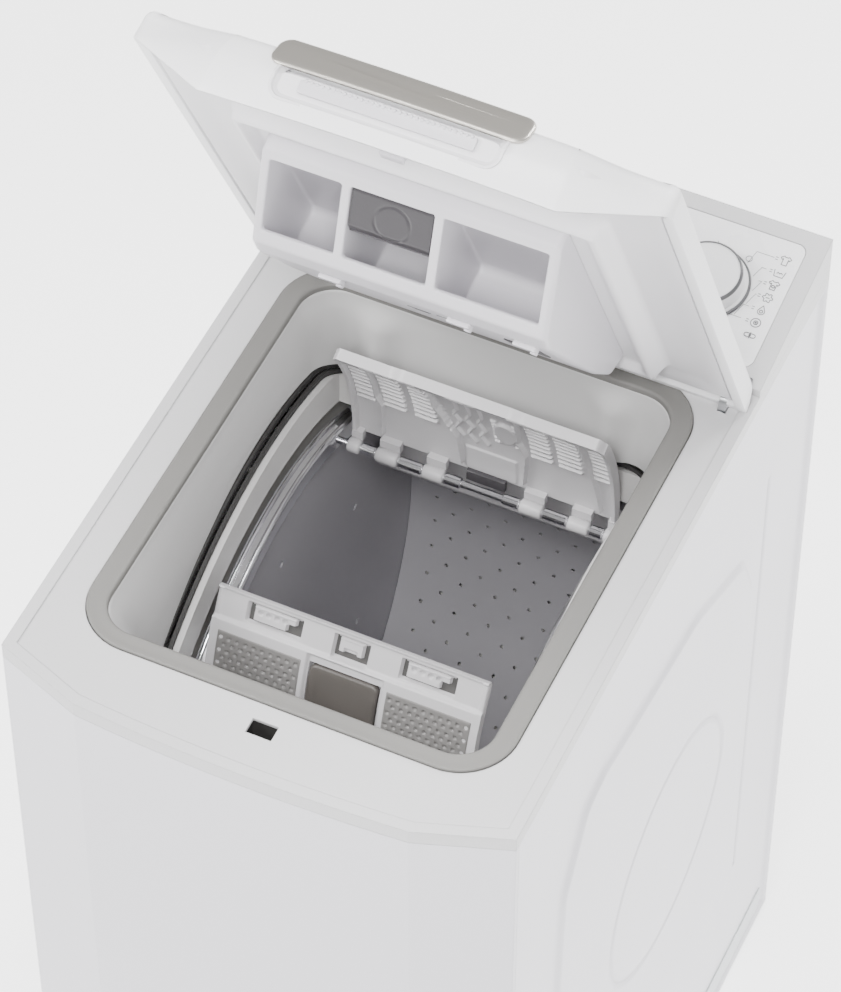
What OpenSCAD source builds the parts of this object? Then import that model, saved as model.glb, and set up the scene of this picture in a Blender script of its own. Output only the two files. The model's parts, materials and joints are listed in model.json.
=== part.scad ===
/* [Cabinet] */
// Overall width over the side panels
cabinet_w = 400; // [398:1:402]
// Distance from the bowed front to the rear edge
cabinet_d = 610; // [608:1:612]
// Height of the top frame's surface above the floor
frame_top = 861; // [860:1:862]
// Height of the console's rear edge above the floor
console_top = 895; // [892:1:898]
// Gap between the cabinet and the floor, set by the feet
foot_h = 15; // [15:1:16]
// Thickness of the sheet-metal panels
sheet_t = 1.5; // [1.2:0.1:1.6]

/* [Drum and tub] */
// Height of the drum's axis
drum_z = 510; // [509:1:511]
// Distance of the drum's axis behind the cabinet's middle
drum_y = 15.5; // [15:0.5:16]
// Outer radius of the drum shell
drum_r = 238; // [237:0.5:238]
// Half the length of the drum shell
drum_half = 126; // [125:1:127]
// Inner radius of the tub
tub_r = 250; // [250:0.5:251]
// Inner radius of the collar's lower edge, about the drum's axis
collar_r = 292; // [291:0.5:293]

/* [Loading opening] */
// Half the outer width of the lid seal
seal_x = 167; // [166:0.5:167]
// Front outer edge of the lid seal
seal_front = -242.5; // [-243:0.5:-242]
// Rear outer edge of the lid seal
seal_rear = 152; // [150:0.5:152]
// Corner radius of the lid seal's outer edge
seal_corner = 45; // [43:0.5:45]

/* [Lid] */
// Opening angle of the lid as drawn
lid_open = 65; // [64:0.5:66]
// Lid pivot, distance behind the cabinet's middle
lid_y = 148; // [147:0.5:148]
// Lid pivot, height above the floor
lid_z = 866; // [866:0.5:867]
// Thickness of the lid over its sides
lid_t = 23; // [21:0.5:24]
// Length of the lid's front apron below its rim
apron_h = 28; // [26:1:30]

/* [Flaps] */
// Angle that the rear drum flap is opened by
rear_flap_open = 69; // [68:0.5:69]
// Angle that the front drum flap is opened by
front_flap_open = 44; // [43:0.5:44]

/* [Console] */
// Programme knob, distance right of the cabinet's middle
knob_x = 127; // [125:1:128]
// Programme knob, distance up the console's slope
knob_v = 73; // [70:1:75]
// Radius of the knob's top
knob_r = 26.3; // [25:0.1:27]

/* [Hidden] */
$fn = 64;

white = "#E4E2E6";
frame_white = "#DDDCDD";
grey = "#B5B2AD";
steel = "#C2C4C6";
dark = "#3A3836";

// Cabinet outline: chamfered corners and a bowed front
half_w = cabinet_w / 2;
rear_y = cabinet_d / 2;
front_y = -rear_y;
corner_y = front_y + 30.5;
break_x = 130;
break_y = front_y + 5.5;
rim_h = 13;
panel_top = frame_top - rim_h - 0.2;
seam_y = corner_y + 4.5;
rear_sheet_y = rear_y - 12;

// Console: a shallow wedge behind the lid
console_y = 164.5;
console_front_z = 868;
slope = atan((console_top - console_front_z) / (rear_y - console_y));
slope_len = (rear_y - console_y) / cos(slope);

// Lid: distances s run from the pivot to the front, n upwards from the pivot
rim_n = -4.2;
lid_n = rim_n + lid_t;
lid_half = 197;
lid_corner_s = 432;
lid_break_s = 455.5;
lid_front_s = 461.5;
lid_wall = 3;
pin_r = 3;
run_gap = 0.05;
ear_x = 176;
ear_t = 6;

// Lid latch hook and its slot in the top frame
hook_s = 407;
hook_t = 8;
slot_y0 = -269.5;
slot_y1 = -256.5;
latch_pivot_s = 422;
latch_pivot_n = 3.5;
// Finger recess in the lid's front, below the handle bar
grip_x = 82;
grip_n0 = 0;
grip_n1 = 8.2;
grip_s = 428;

// Drum opening and flap hinges, angles about the drum's axis from the rear
open_a0 = 60;
open_a1 = 140;
open_x = 116;
rear_hinge_r = 223.8;
rear_hinge_a = 66;
front_hinge_r = 230.5;
front_hinge_a = 135;
flap_t = 3;
rod_r = 3;
flap_bore = rod_r + run_gap;

// Tub and its mouth
tub_t = 3;
tub_half = 140;
mouth_x = 129;
mouth_t = 5;
mouth_y0 = -200;
mouth_y1 = 128;
mouth_r = 282;
shaft_r = 12.5;
bearing_r = 26;
hub_x1 = 168;

// Belt drive on the right-hand side
pulley_x0 = 172;
pulley_w = 12;
pulley_r = 138;
motor_y = 175;
motor_z = 190;
motor_r = 60;
small_pulley_r = 11;
motor_shaft_r = 6;
belt_gap = 0.3;
belt_t = 3.5;

// Springs and dampers, each at four places
spring_x = 173;
spring_ys = [-92, 122];
spring_z0 = 652;
spring_z1 = 800;
spring_h = spring_z1 - spring_z0;
spring_steps = 64;
damper_x = 128;
damper_ys = [-76, 96];
damper_r = 6;

// Drain pump at the lower front left
pump_x = -88;
pump_z = 85;
chamber_r = 30;
nozzle_y = -10;
flap_z0 = pump_z - 46;
flap_hinge_y = front_y + 6.2;

foot_xs = [-165, 165];
foot_ys = [-235, 265];
stud_r = 5;

function arc(cy, cz, r, a0, a1, n) =
    [for (i = [0:n]) let (a = a0 + (a1 - a0) * i / n) [cy + r * cos(a), cz + r * sin(a)]];
function bow(depth, half, steps) =
    [for (i = [0:steps]) let (x = -half + 2 * half * i / steps)
        [x, depth * (1 - pow(x / half, 2))]];
// Cabinet outline moved inwards by i
function outline(i) = concat(
    [[-half_w + i, rear_y - i], [-half_w + i, corner_y + 0.7 * i]],
    [for (p = bow(-5.5, break_x, 12)) [p[0], break_y + 1.03 * i + p[1]]],
    [[half_w - i, corner_y + 0.7 * i], [half_w - i, rear_y - i]]);
// Lid outline seen from above, front towards -Y, moved inwards by i
function lid_outline(i, rear) = concat(
    [[-lid_half + i, rear], [-lid_half + i, -lid_corner_s + 0.7 * i]],
    [for (p = bow(-(lid_front_s - lid_break_s), 128, 12)) [p[0], -lid_break_s + 1.03 * i + p[1]]],
    [[lid_half - i, -lid_corner_s + 0.7 * i], [lid_half - i, rear]]);

// Extrudes a profile drawn in Y and Z from x0 to x1
module along_x(x0, x1) {
    translate([x0, 0, 0]) rotate([90, 0, 90]) linear_extrude(x1 - x0) children();
}
// Extrudes a profile drawn in X and Z from y0 to y1
module along_y(y0, y1) {
    translate([0, y1, 0]) rotate([90, 0, 0]) linear_extrude(y1 - y0) children();
}
module slab(z0, z1) {
    translate([0, 0, z0]) linear_extrude(z1 - z0) children();
}
module block(p0, p1) {
    translate(p0) cube(p1 - p0);
}
module rod_x(r, x0, x1, y, z) {
    translate([x0, y, z]) rotate([0, 90, 0]) cylinder(r = r, h = x1 - x0);
}
module rod_y(r, y0, y1, x, z) {
    translate([x, y0, z]) rotate([-90, 0, 0]) cylinder(r = r, h = y1 - y0);
}
module rod_z(r, z0, z1, x, y) {
    translate([x, y, z0]) cylinder(r = r, h = z1 - z0);
}
// Rectangle with rounded corners, true arcs
module rounded(x0, y0, x1, y1, r) {
    translate([x0 + r, y0]) square([x1 - x0 - 2 * r, y1 - y0]);
    translate([x0, y0 + r]) square([x1 - x0, y1 - y0 - 2 * r]);
    for (x = [x0 + r, x1 - r], y = [y0 + r, y1 - r]) translate([x, y]) circle(r);
}
module both_sides() {
    children();
    mirror([1, 0, 0]) children();
}
module on_axis() {
    translate([0, drum_y, drum_z]) children();
}
// Ring sector about the drum's axis, in the Y and Z plane
module sector(r0, r1, a0, a1) {
    intersection() {
        difference() {
            circle(r1, $fn = 128);
            circle(r0, $fn = 128);
        }
        wedge(r1 + 10, a0, a1);
    }
}
module wedge(r, a0, a1) {
    polygon(concat([[0, 0]], arc(0, 0, r / cos((a1 - a0) / 16), a0, a1, 8)));
}
module in_lid() {
    translate([0, lid_y, lid_z]) rotate([-lid_open, 0, 0]) children();
}
module on_console() {
    translate([0, console_y, console_front_z]) rotate([slope, 0, 0]) children();
}
function polar(r, a) = [0, drum_y + r * cos(a), drum_z + r * sin(a)];
// Turns a child drawn closed about a hinge line to its open place
module turned(hinge, angle) {
    translate(hinge) rotate([angle, 0, 0]) translate(-hinge) children();
}

// ---- Cabinet ----
module foot_places() {
    for (x = foot_xs, y = foot_ys) translate([x, y, 0]) children();
}
module base_frame() color(grey) difference() {
    union() {
        difference() {
            slab(foot_h, foot_h + 38) polygon(outline(sheet_t + 0.3));
            slab(foot_h + 4, foot_h + 39) polygon(outline(sheet_t + 4.3));
            block([-125, -150, foot_h - 1], [125, 200, foot_h + 5]);
            block([-half_w, rear_sheet_y - 2.5, foot_h - 1], [half_w, rear_y, foot_h + 39]);
            block([pump_x - 50, front_y, foot_h + 15], [pump_x + 50, front_y + 18, foot_h + 39]);
        }
        foot_places() rod_z(13, foot_h, foot_h + 30, 0, 0);
        for (x = [-damper_x, damper_x]) difference() {
            block([x - 20, -150, foot_h], [x + 20, 200, foot_h + 24]);
            block([x - 17, -151, foot_h - 1], [x + 17, 201, foot_h + 20]);
        }
    }
    foot_places() rod_z(stud_r + run_gap, foot_h - 1, foot_h + 32, 0, 0);
}
module side_panel() color(white) {
    difference() {
        block([half_w - sheet_t, seam_y, foot_h], [half_w, rear_y, panel_top]);
        block([half_w - 5, seam_y - 1, foot_h - 1], [half_w - sheet_t / 3, seam_y + 6, foot_h + 8]);
    }
    block([half_w - 14, rear_y - sheet_t, foot_h], [half_w - sheet_t, rear_y, panel_top]);
    block([half_w - 14, rear_sheet_y, foot_h], [half_w - 14 + sheet_t, rear_y - sheet_t, panel_top]);
}
module left_side_panel() mirror([1, 0, 0]) side_panel();
module right_side_panel() side_panel();
module front_panel() color(white) difference() {
    slab(foot_h, panel_top) intersection() {
        difference() {
            polygon(outline(0));
            polygon(outline(sheet_t));
        }
        translate([-half_w, front_y - 5]) square([cabinet_w, seam_y - 0.3 - front_y + 5]);
    }
    block([pump_x - 47, front_y - 5, flap_z0 - 4.5], [pump_x + 47, corner_y + 10, pump_z + 47]);
}
module rear_panel() color("#C9CBCC") difference() {
    block([-half_w + 14.3, rear_sheet_y - 1, foot_h], [half_w - 14.3, rear_sheet_y, panel_top]);
    block([-110, rear_sheet_y - 5, 260], [110, rear_sheet_y + 1, 640]);
    rod_y(17.5, rear_sheet_y - 5, rear_sheet_y + 1, 130, 760);
    rod_y(16, rear_sheet_y - 5, rear_sheet_y + 1, -150, 700);
    rod_y(8.2, rear_sheet_y - 5, rear_sheet_y + 1, -110, 790);
    for (x = [-116, 116], z = [258, 450, 642]) rod_y(2.2, rear_sheet_y - 5, rear_sheet_y + 1, x, z);
}
module rear_access_cover() color("#C9CBCC") difference() {
    union() {
        block([-122, rear_sheet_y, 248], [122, rear_sheet_y + 1, 652]);
        block([-100, rear_sheet_y + 1, 275], [100, rear_sheet_y + 4, 625]);
    }
    block([-98, rear_sheet_y - 1, 277], [98, rear_sheet_y + 3, 623]);
    for (x = [-116, 116], z = [258, 450, 642]) rod_y(2.2, rear_sheet_y - 1, rear_sheet_y + 6, x, z);
}
module cabinet_screws() color(steel) {
    for (x = [-116, 116], z = [258, 450, 642]) {
        rod_y(2, rear_sheet_y - 8, rear_sheet_y + 1, x, z);
        rod_y(4.5, rear_sheet_y + 1, rear_sheet_y + 3.5, x, z);
    }
}
module cord_gland() color(dark) difference() {
    union() {
        rod_y(8, rear_sheet_y - 9, rear_sheet_y, -110, 790);
        rod_y(11, rear_sheet_y, rear_sheet_y + 9, -110, 790);
    }
    rod_y(4, rear_sheet_y - 10, rear_sheet_y + 10, -110, 790);
}
module top_frame() color(frame_white) difference() {
    union() {
        difference() {
            slab(frame_top - rim_h, frame_top) polygon(outline(0));
            slab(frame_top - rim_h - 1, frame_top - 4) polygon(outline(3.5));
        }
        both_sides() for (y = spring_ys) {
            for (e = [y - 12, y + 6])
                block([spring_x + 1, e, spring_z1 + 15], [spring_x + 9, e + 6, frame_top - 3]);
            block([spring_x - 12, y - 12, spring_z1], [spring_x + 12, y + 12, spring_z1 + 16]);
        }
    }
    slab(frame_top - 1.2, frame_top + 1) intersection() {
        polygon(outline(9));
        translate([-half_w, front_y]) square([cabinet_w, console_y - 3 - front_y]);
    }
    slab(frame_top - 5, frame_top + 1)
        rounded(-seal_x - 0.4, seal_front - 0.4, seal_x + 0.4, seal_rear + 0.4, seal_corner);
    slab(frame_top - 5, frame_top + 1) translate([-10, slot_y0]) square([20, slot_y1 - slot_y0]);
    both_sides() block([ear_x - 0.4, lid_y - 7.4, frame_top - 5],
                       [ear_x + ear_t + 0.4, lid_y + 7.4, frame_top + 1]);
    slab(frame_top - 5, frame_top + 1) rounded(-150, 190, 168, 290, 8);
}
// The collar's hollow, grown outwards by g
module collar_space(g, z0, z1) {
    intersection() {
        along_x(-200, 200) polygon([
            [seal_front + 15 - g, frame_top + 5], [seal_front + 15 - g, 856],
            [-221 - g, 846], [-215 - g, 834], [-210 - g, 815], [-206 - g, z0],
            [130 + g, z0], [131 + g, 800], [134 + g, 856], [134 + g, frame_top + 5]]);
        along_y(-300, 300) polygon([
            [-150 - g, frame_top + 5], [-150 - g, 854], [-145 - g, 830], [-141 - g, 800],
            [-136 - g, z0], [136 + g, z0], [141 + g, 800], [145 + g, 830],
            [150 + g, 854], [150 + g, frame_top + 5]]);
        slab(z0, z1) rounded(-152 - g, -228 - g, 152 + g, 136 + g, 30 + g);
    }
}
module collar() color(white) difference() {
    union() {
        collar_space(3, 640, 856);
        slab(852.5, 856) rounded(-seal_x - 5, seal_front - 5, seal_x + 5, seal_rear + 5, seal_corner + 4);
    }
    collar_space(0, 635, 862);
    rod_x(collar_r, -200, 200, drum_y, drum_z);
}
module collar_bellows() color(dark) on_axis() intersection() {
    along_x(-150, 150) difference() {
        circle(collar_r - 0.5);
        circle(mouth_r + 1);
    }
    slab(150, 320) difference() {
        rounded(-mouth_x - 13, mouth_y0 - drum_y - 13, mouth_x + 13, mouth_y1 - drum_y + 13, 30);
        rounded(-mouth_x - 9, mouth_y0 - drum_y - 9, mouth_x + 9, mouth_y1 - drum_y + 9, 28);
    }
}
module lid_seal() color(grey) difference() {
    slab(856, frame_top + 0.6) rounded(-seal_x, seal_front, seal_x, seal_rear, seal_corner);
    slab(855, frame_top + 2)
        rounded(-seal_x + 17, seal_front + 15, seal_x - 17, seal_rear - 18, 30);
}
module lid_lock() color(dark) difference() {
    block([-26, -278, 826], [26, -252, frame_top - 4.1]);
    block([-12, -274.5, 832], [12, -255, frame_top]);
}
module hinge_brackets() color(steel) both_sides() difference() {
    union() {
        block([ear_x - 8, lid_y - 10, 852], [ear_x + ear_t + 8, lid_y + 10, frame_top - 4.2]);
        block([ear_x, lid_y - 6.5, 852], [ear_x + ear_t, lid_y + 6.5, lid_z]);
        rod_x(6.5, ear_x, ear_x + ear_t, lid_y, lid_z);
    }
    rod_x(pin_r + run_gap, ear_x - 1, ear_x + ear_t + 1, lid_y, lid_z);
}

// ---- Console ----
module console_body() color(frame_white) difference() {
    along_x(-half_w, half_w) polygon([
        [console_y, frame_top], [console_y, console_front_z], [rear_y, console_top],
        [rear_y, frame_top]]);
    along_x(-half_w + 4, half_w - 4) polygon([
        [console_y + 4, frame_top - 1], [console_y + 4, console_front_z - 3.4],
        [rear_y - 4, console_top - 5.2], [rear_y - 4, frame_top - 1]]);
    on_console() slab(-2, 1) rounded(-186, 15, 186, 130, 8);
    on_console() rod_z(4.2, -8, 1, knob_x, knob_v);
    on_console() rod_z(7.2, -8, 1, 20, knob_v);
}
module console_fascia() color("#F0EFF3") on_console() difference() {
    slab(-1.9, -0.2) rounded(-185.7, 15.3, 185.7, 129.7, 7.7);
    rod_z(4.2, -8, 1, knob_x, knob_v);
    rod_z(7.2, -8, 1, 20, knob_v);
}
module control_board() color("#2F5A3A") {
    block([-140, 196, frame_top - 12], [40, 284, frame_top - 10]);
    for (x = [-120 : 40 : 0]) block([x, 210, frame_top - 10], [x + 22, 232, frame_top - 1]);
    rod_z(9, frame_top - 10, frame_top + 2, -60, 262);
    block([10, 222, frame_top - 10], [30, 252, frame_top + 3]);
}
module programme_switch() color(dark) on_console() difference() {
    rod_z(15, -22, -6, knob_x, knob_v);
    rod_z(pin_r + run_gap, -23, -5, knob_x, knob_v);
}
module programme_knob() color(white) on_console() {
    rod_z(30.5, 0.4, 3, knob_x, knob_v);
    translate([knob_x, knob_v, 3]) cylinder(r1 = 28.5, r2 = knob_r, h = 13.5);
    rod_z(pin_r, -20, 1, knob_x, knob_v);
}
module start_button() color("#C8C6CA") on_console() {
    rod_z(7, -5.6, 3, 20, knob_v);
    rod_z(9.5, -7, -5.6, 20, knob_v);
}

// ---- Water circuit ----
module inlet_valve() color("#D8D6D0") difference() {
    union() {
        rod_y(13.2, rear_sheet_y - 3, rear_y, 130, 760);
        rod_y(19, rear_sheet_y - 6, rear_sheet_y - 1.2, 130, 760);
        block([112, rear_sheet_y - 46, 742], [148, rear_sheet_y - 6, 778]);
        rod_z(7, 778, 800, 130, rear_sheet_y - 30);
    }
    rod_y(8.5, rear_sheet_y - 12, rear_y + 1, 130, 760);
    rod_z(4.5, 776, 801, 130, rear_sheet_y - 30);
}
module fill_pipe() color("#D8D6D0") difference() {
    union() {
        rod_z(10, 790, 838, 130, rear_sheet_y - 30);
        rod_y(10, 160, rear_sheet_y - 30, 130, 838);
    }
    rod_z(7, 789, 838, 130, rear_sheet_y - 30);
    rod_y(7, 159, rear_sheet_y - 30, 130, 838);
}
module drain_pump() color("#B9B7B2") difference() {
    union() {
        rod_y(chamber_r, -270, -150, pump_x, pump_z);
        rod_y(17, -150, nozzle_y, pump_x, pump_z);
        rod_z(17, pump_z, 112, pump_x, nozzle_y);
        rod_x(24, pump_x + 20, pump_x + 46, -180, pump_z);
        rod_x(22, pump_x + 46, pump_x + 96, -180, pump_z);
        rod_z(9, pump_z + 15, 122, pump_x + 38, -180);
        block([pump_x - 20, -230, foot_h + 4], [pump_x + 20, -170, pump_z - 22]);
    }
    rod_y(chamber_r - 4, -271, -154, pump_x, pump_z);
    rod_y(14, -160, nozzle_y, pump_x, pump_z);
    rod_z(14, pump_z, 113, pump_x, nozzle_y);
    rod_x(20, pump_x + 20, pump_x + 44, -180, pump_z);
    rod_x(3.05, pump_x + 40, pump_x + 80, -180, pump_z);
    rod_z(6, pump_z + 15, 123, pump_x + 38, -180);
}
module pump_impeller() color(dark) {
    rod_x(3, pump_x + 34, pump_x + 78, -180, pump_z);
    rod_x(7, pump_x + 32, pump_x + 42, -180, pump_z);
    for (a = [0 : 60 : 300]) translate([pump_x + 32, -180, pump_z]) rotate([a, 0, 0])
        block([0, -1, 5], [9, 1, 18]);
}
module filter_cap() color(white) {
    rod_y(chamber_r + 3, -282, -271, pump_x, pump_z);
    rod_y(chamber_r - 4.1, -271, -240, pump_x, pump_z);
    block([pump_x - 24, -290, pump_z - 4], [pump_x + 24, -282, pump_z + 4]);
}
module filter_flap() color(white) {
    intersection() {
        slab(flap_z0, pump_z + 46) difference() {
            polygon(outline(0));
            polygon(outline(2.5));
        }
        block([pump_x - 46, front_y - 5, 0], [pump_x + 46, corner_y + 10, 200]);
    }
    rod_x(2.9, pump_x - 2, pump_x + 38, flap_hinge_y, flap_z0 + 3);
}
// Drain hose route from the pump to the outlet high on the rear panel
drain_route = [[-50, -180, 124], [-50, -180, 150], [-70, -190, 168], [-120, -205, 178],
    [-160, -205, 190], [-178, -190, 215], [-178, -150, 250], [-178, -90, 270], [-178, -20, 290],
    [-178, 60, 320], [-178, 130, 370], [-178, 190, 440], [-178, 225, 520], [-178, 245, 600],
    [-172, 255, 660], [-158, 265, 692], [-150, 278, 700], [-150, rear_sheet_y - 5, 700]];
function unit(v) = v / norm(v);
function tangent(p, i) = unit(p[min(i + 1, len(p) - 1)] - p[max(i - 1, 0)]);
function ring(c, t, r, n) =
    let (a = unit(cross(t, abs(t[0]) < 0.8 ? [1, 0, 0] : [0, 1, 0])), b = cross(t, a))
    [for (k = [0:n - 1]) c + r * (cos(360 * k / n) * a + sin(360 * k / n) * b)];
module swept(p, r, n) {
    m = len(p);
    points = [for (i = [0:m - 1]) each ring(p[i], tangent(p, i), r, n)];
    sides = [for (i = [0:m - 2], k = [0:n - 1]) let (k2 = (k + 1) % n, a = i * n, b = a + n)
        each [[a + k, b + k2, a + k2], [a + k, b + k, b + k2]]];
    ends = [for (k = [1:n - 2]) each [[0, k, k + 1], [(m - 1) * n, (m - 1) * n + k + 1, (m - 1) * n + k]]];
    polyhedron(points, concat(sides, ends), convexity = 6);
}
module drain_pipe() color("#8E8C8A") difference() {
    union() {
        swept(drain_route, 10, 12);
        rod_y(10.5, rear_sheet_y - 8, rear_y, -150, 700);
    }
    rod_y(8.5, rear_sheet_y - 4, rear_y + 1, -150, 700);
}
module sump_hose() color(dark) difference() {
    union() {
        rod_z(20, 113, 204, pump_x, nozzle_y);
        for (z = [120 : 12 : 192]) rod_z(22.5, z, z + 5, pump_x, nozzle_y);
    }
    rod_z(17.3, 112, 205, pump_x, nozzle_y);
}

// ---- Suspension ----
module suspension_springs() color(steel) both_sides() for (y = spring_ys)
    swept([for (i = [0:spring_steps]) let (a = i * 45, z = 3 + (spring_h - 6) * i / spring_steps)
        [spring_x + 9 * cos(a), y + 9 * sin(a), spring_z0 + z]], 1.8, 5);
module damper_places() {
    for (x = [-damper_x, damper_x], y = damper_ys) translate([x, y, 0]) children();
}
module damper_cylinders() color(dark) damper_places() difference() {
    rod_z(13, foot_h + 24, 196, 0, 0);
    rod_z(damper_r + run_gap, foot_h + 34, 197, 0, 0);
}
module damper_rods() color(steel) damper_places() rod_z(damper_r, 120, 240, 0, 0);

// ---- Tub ----
module tub_shell() color("#C9C7C2") difference() {
    union() {
        on_axis() rod_x(tub_r + tub_t, -tub_half, tub_half, 0, 0);
        block([-110, -45, 222], [110, 75, 300]);
        rod_z(17, 206, 226, pump_x, nozzle_y);
        for (x = [-damper_x - 12, damper_x - 12], y = damper_ys)
            block([x, y - 12, 240], [x + 24, y + 12, 300]);
        block([-70, motor_y - 90, 225], [90, motor_y - 57, 300]);
    }
    on_axis() rod_x(tub_r, -tub_half - 1, tub_half + 1, 0, 0);
    block([-107, -42, 225], [107, 72, 300]);
    rod_z(14, 200, 230, pump_x, nozzle_y);
    block([-mouth_x - mouth_t, mouth_y0 - mouth_t, drum_z + 100],
          [mouth_x + mouth_t, mouth_y1 + mouth_t, 800]);
}
module tub_mouth() color("#D5D2CE") on_axis() intersection() {
    along_x(-mouth_x - 20, mouth_x + 20) difference() {
        circle(mouth_r);
        circle(tub_r);
    }
    slab(100, 320) difference() {
        translate([-mouth_x - mouth_t, mouth_y0 - drum_y - mouth_t])
            square([2 * (mouth_x + mouth_t), mouth_y1 - mouth_y0 + 2 * mouth_t]);
        translate([-mouth_x, mouth_y0 - drum_y]) square([2 * mouth_x, mouth_y1 - mouth_y0]);
    }
}
module tub_ends() color("#C9C7C2") on_axis() both_sides() difference() {
    union() {
        rod_x(tub_r + 6, tub_half, tub_half + 4, 0, 0);
        rod_x(36, tub_half, hub_x1, 0, 0);
        for (a = [0 : 45 : 315]) rotate([a, 0, 0])
            block([tub_half + 4, -1.5, 30], [tub_half + 12, 1.5, tub_r + 4]);
        for (y = spring_ys) block([tub_half, y - drum_y - 14, spring_z0 - drum_z - 14],
                                  [spring_x + 12, y - drum_y + 14, spring_z0 - drum_z]);
        for (y = spring_ys) block([tub_half, y - drum_y - 14, spring_z0 - drum_z - 40],
                                  [tub_half + 12, y - drum_y + 14, spring_z0 - drum_z - 14]);
    }
    rod_x(bearing_r, tub_half + 6, hub_x1 + 1, 0, 0);
    rod_x(shaft_r + 2, tub_half - 1, tub_half + 7, 0, 0);
}
module bearings() color(steel) on_axis() both_sides() difference() {
    rod_x(bearing_r, tub_half + 6, hub_x1 - 2, 0, 0);
    rod_x(shaft_r + run_gap, tub_half + 5, hub_x1, 0, 0);
}
module counterweights() color("#8C8A86") on_axis() {
    along_x(-125, 125) sector(tub_r + tub_t + 0.3, 288, 152, 196);
    along_x(-125, 125) sector(tub_r + tub_t + 0.3, 271, -14, 30);
}
module drive_motor() color(steel) difference() {
    union() {
        rod_x(motor_r, -70, 90, motor_y, motor_z);
        rod_x(22, 90, 120, motor_y, motor_z);
        for (x = [-60 : 24 : 84]) rod_x(motor_r + 3, x, x + 4, motor_y, motor_z);
        block([-50, motor_y - 75, motor_z + 5], [70, motor_y - 40, 224.8]);
    }
    rod_x(motor_shaft_r + run_gap, 60, 121, motor_y, motor_z);
}
module motor_pulley() color(steel) {
    rod_x(motor_shaft_r, 62, pulley_x0 + pulley_w, motor_y, motor_z);
    rod_x(small_pulley_r, pulley_x0 - 2, pulley_x0 + pulley_w + 2, motor_y, motor_z);
}
module drum_pulley() color("#9EA0A2") on_axis() difference() {
    union() {
        difference() {
            rod_x(pulley_r, pulley_x0, pulley_x0 + pulley_w, 0, 0);
            rod_x(pulley_r - 10, pulley_x0 - 1, pulley_x0 + pulley_w + 1, 0, 0);
        }
        rod_x(24, pulley_x0, pulley_x0 + pulley_w, 0, 0);
        for (a = [0 : 60 : 300]) rotate([a, 0, 0])
            block([pulley_x0 + 3, -8, 20], [pulley_x0 + 9, 8, pulley_r - 5]);
    }
    rod_x(shaft_r, pulley_x0 - 1, pulley_x0 + pulley_w + 1, 0, 0);
}
// Outline round both pulleys, at distance g from their rims
module belt_outline(g) {
    hull() {
        translate([drum_y, drum_z]) circle(pulley_r + g, $fn = 96);
        translate([motor_y, motor_z]) circle(small_pulley_r + g, $fn = 48);
    }
}
module drive_belt() color(dark) along_x(pulley_x0 + 1, pulley_x0 + pulley_w - 1) difference() {
    belt_outline(belt_gap + belt_t);
    belt_outline(belt_gap);
}
module heater() color(steel) {
    for (y = [-8, 32]) rod_x(4, -60, 101, y, 238);
    translate([-60, 12, 238]) difference() {
        rotate_extrude() translate([20, 0]) circle(4);
        block([0, -30, -6], [30, 30, 6]);
    }
    block([101, -20, 230], [106.8, 44, 246]);
}

// ---- Drum ----
module drum_shell() color(steel) on_axis() {
    difference() {
        rod_x(drum_r, -drum_half, drum_half, 0, 0);
        rod_x(drum_r - 1.5, -drum_half - 1, drum_half + 1, 0, 0);
        along_x(-open_x, open_x) wedge(260, open_a0, open_a1);
    }
    both_sides() difference() {
        along_x(open_x, open_x + 8) sector(drum_r - 17, drum_r - 1.6, open_a0, open_a1);
        along_x(open_x - 1, open_x + 9) for (h = [[rear_hinge_r, rear_hinge_a],
                                                   [front_hinge_r, front_hinge_a]])
            translate([h[0] * cos(h[1]), h[0] * sin(h[1])]) circle(rod_r);
    }
}
module drum_ends() color(steel) on_axis() both_sides() difference() {
    rod_x(drum_r, drum_half, drum_half + 2.5, 0, 0);
    for (a = [0 : 60 : 300]) rotate([a, 0, 0]) rod_x(3, drum_half - 1, drum_half + 4, 0, 150);
}
module drum_shafts() color("#8B8D90") on_axis() {
    both_sides() rod_x(48, drum_half + 2.5, drum_half + 9, 0, 0);
    rod_x(shaft_r, drum_half + 9, pulley_x0 + pulley_w + 3, 0, 0);
    rod_x(shaft_r, -hub_x1, -drum_half - 9, 0, 0);
}
module lifters() color("#C4C2C2") on_axis() for (a = [30, 150, 270]) rotate([a, 0, 0])
    along_x(-drum_half + 4, drum_half - 4) intersection() {
        polygon([[drum_r, -24], [drum_r, 24], [196, 9], [190, 4], [190, -4], [196, -9]]);
        circle(drum_r - 1.9);
    }
module flap_hinge_rods() color("#E6E8EA") {
    rod_x(rod_r, -open_x - 8, open_x + 8, polar(rear_hinge_r, rear_hinge_a)[1],
          polar(rear_hinge_r, rear_hinge_a)[2]);
    rod_x(rod_r, -open_x - 8, open_x + 8, polar(front_hinge_r, front_hinge_a)[1],
          polar(front_hinge_r, front_hinge_a)[2]);
}

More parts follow.
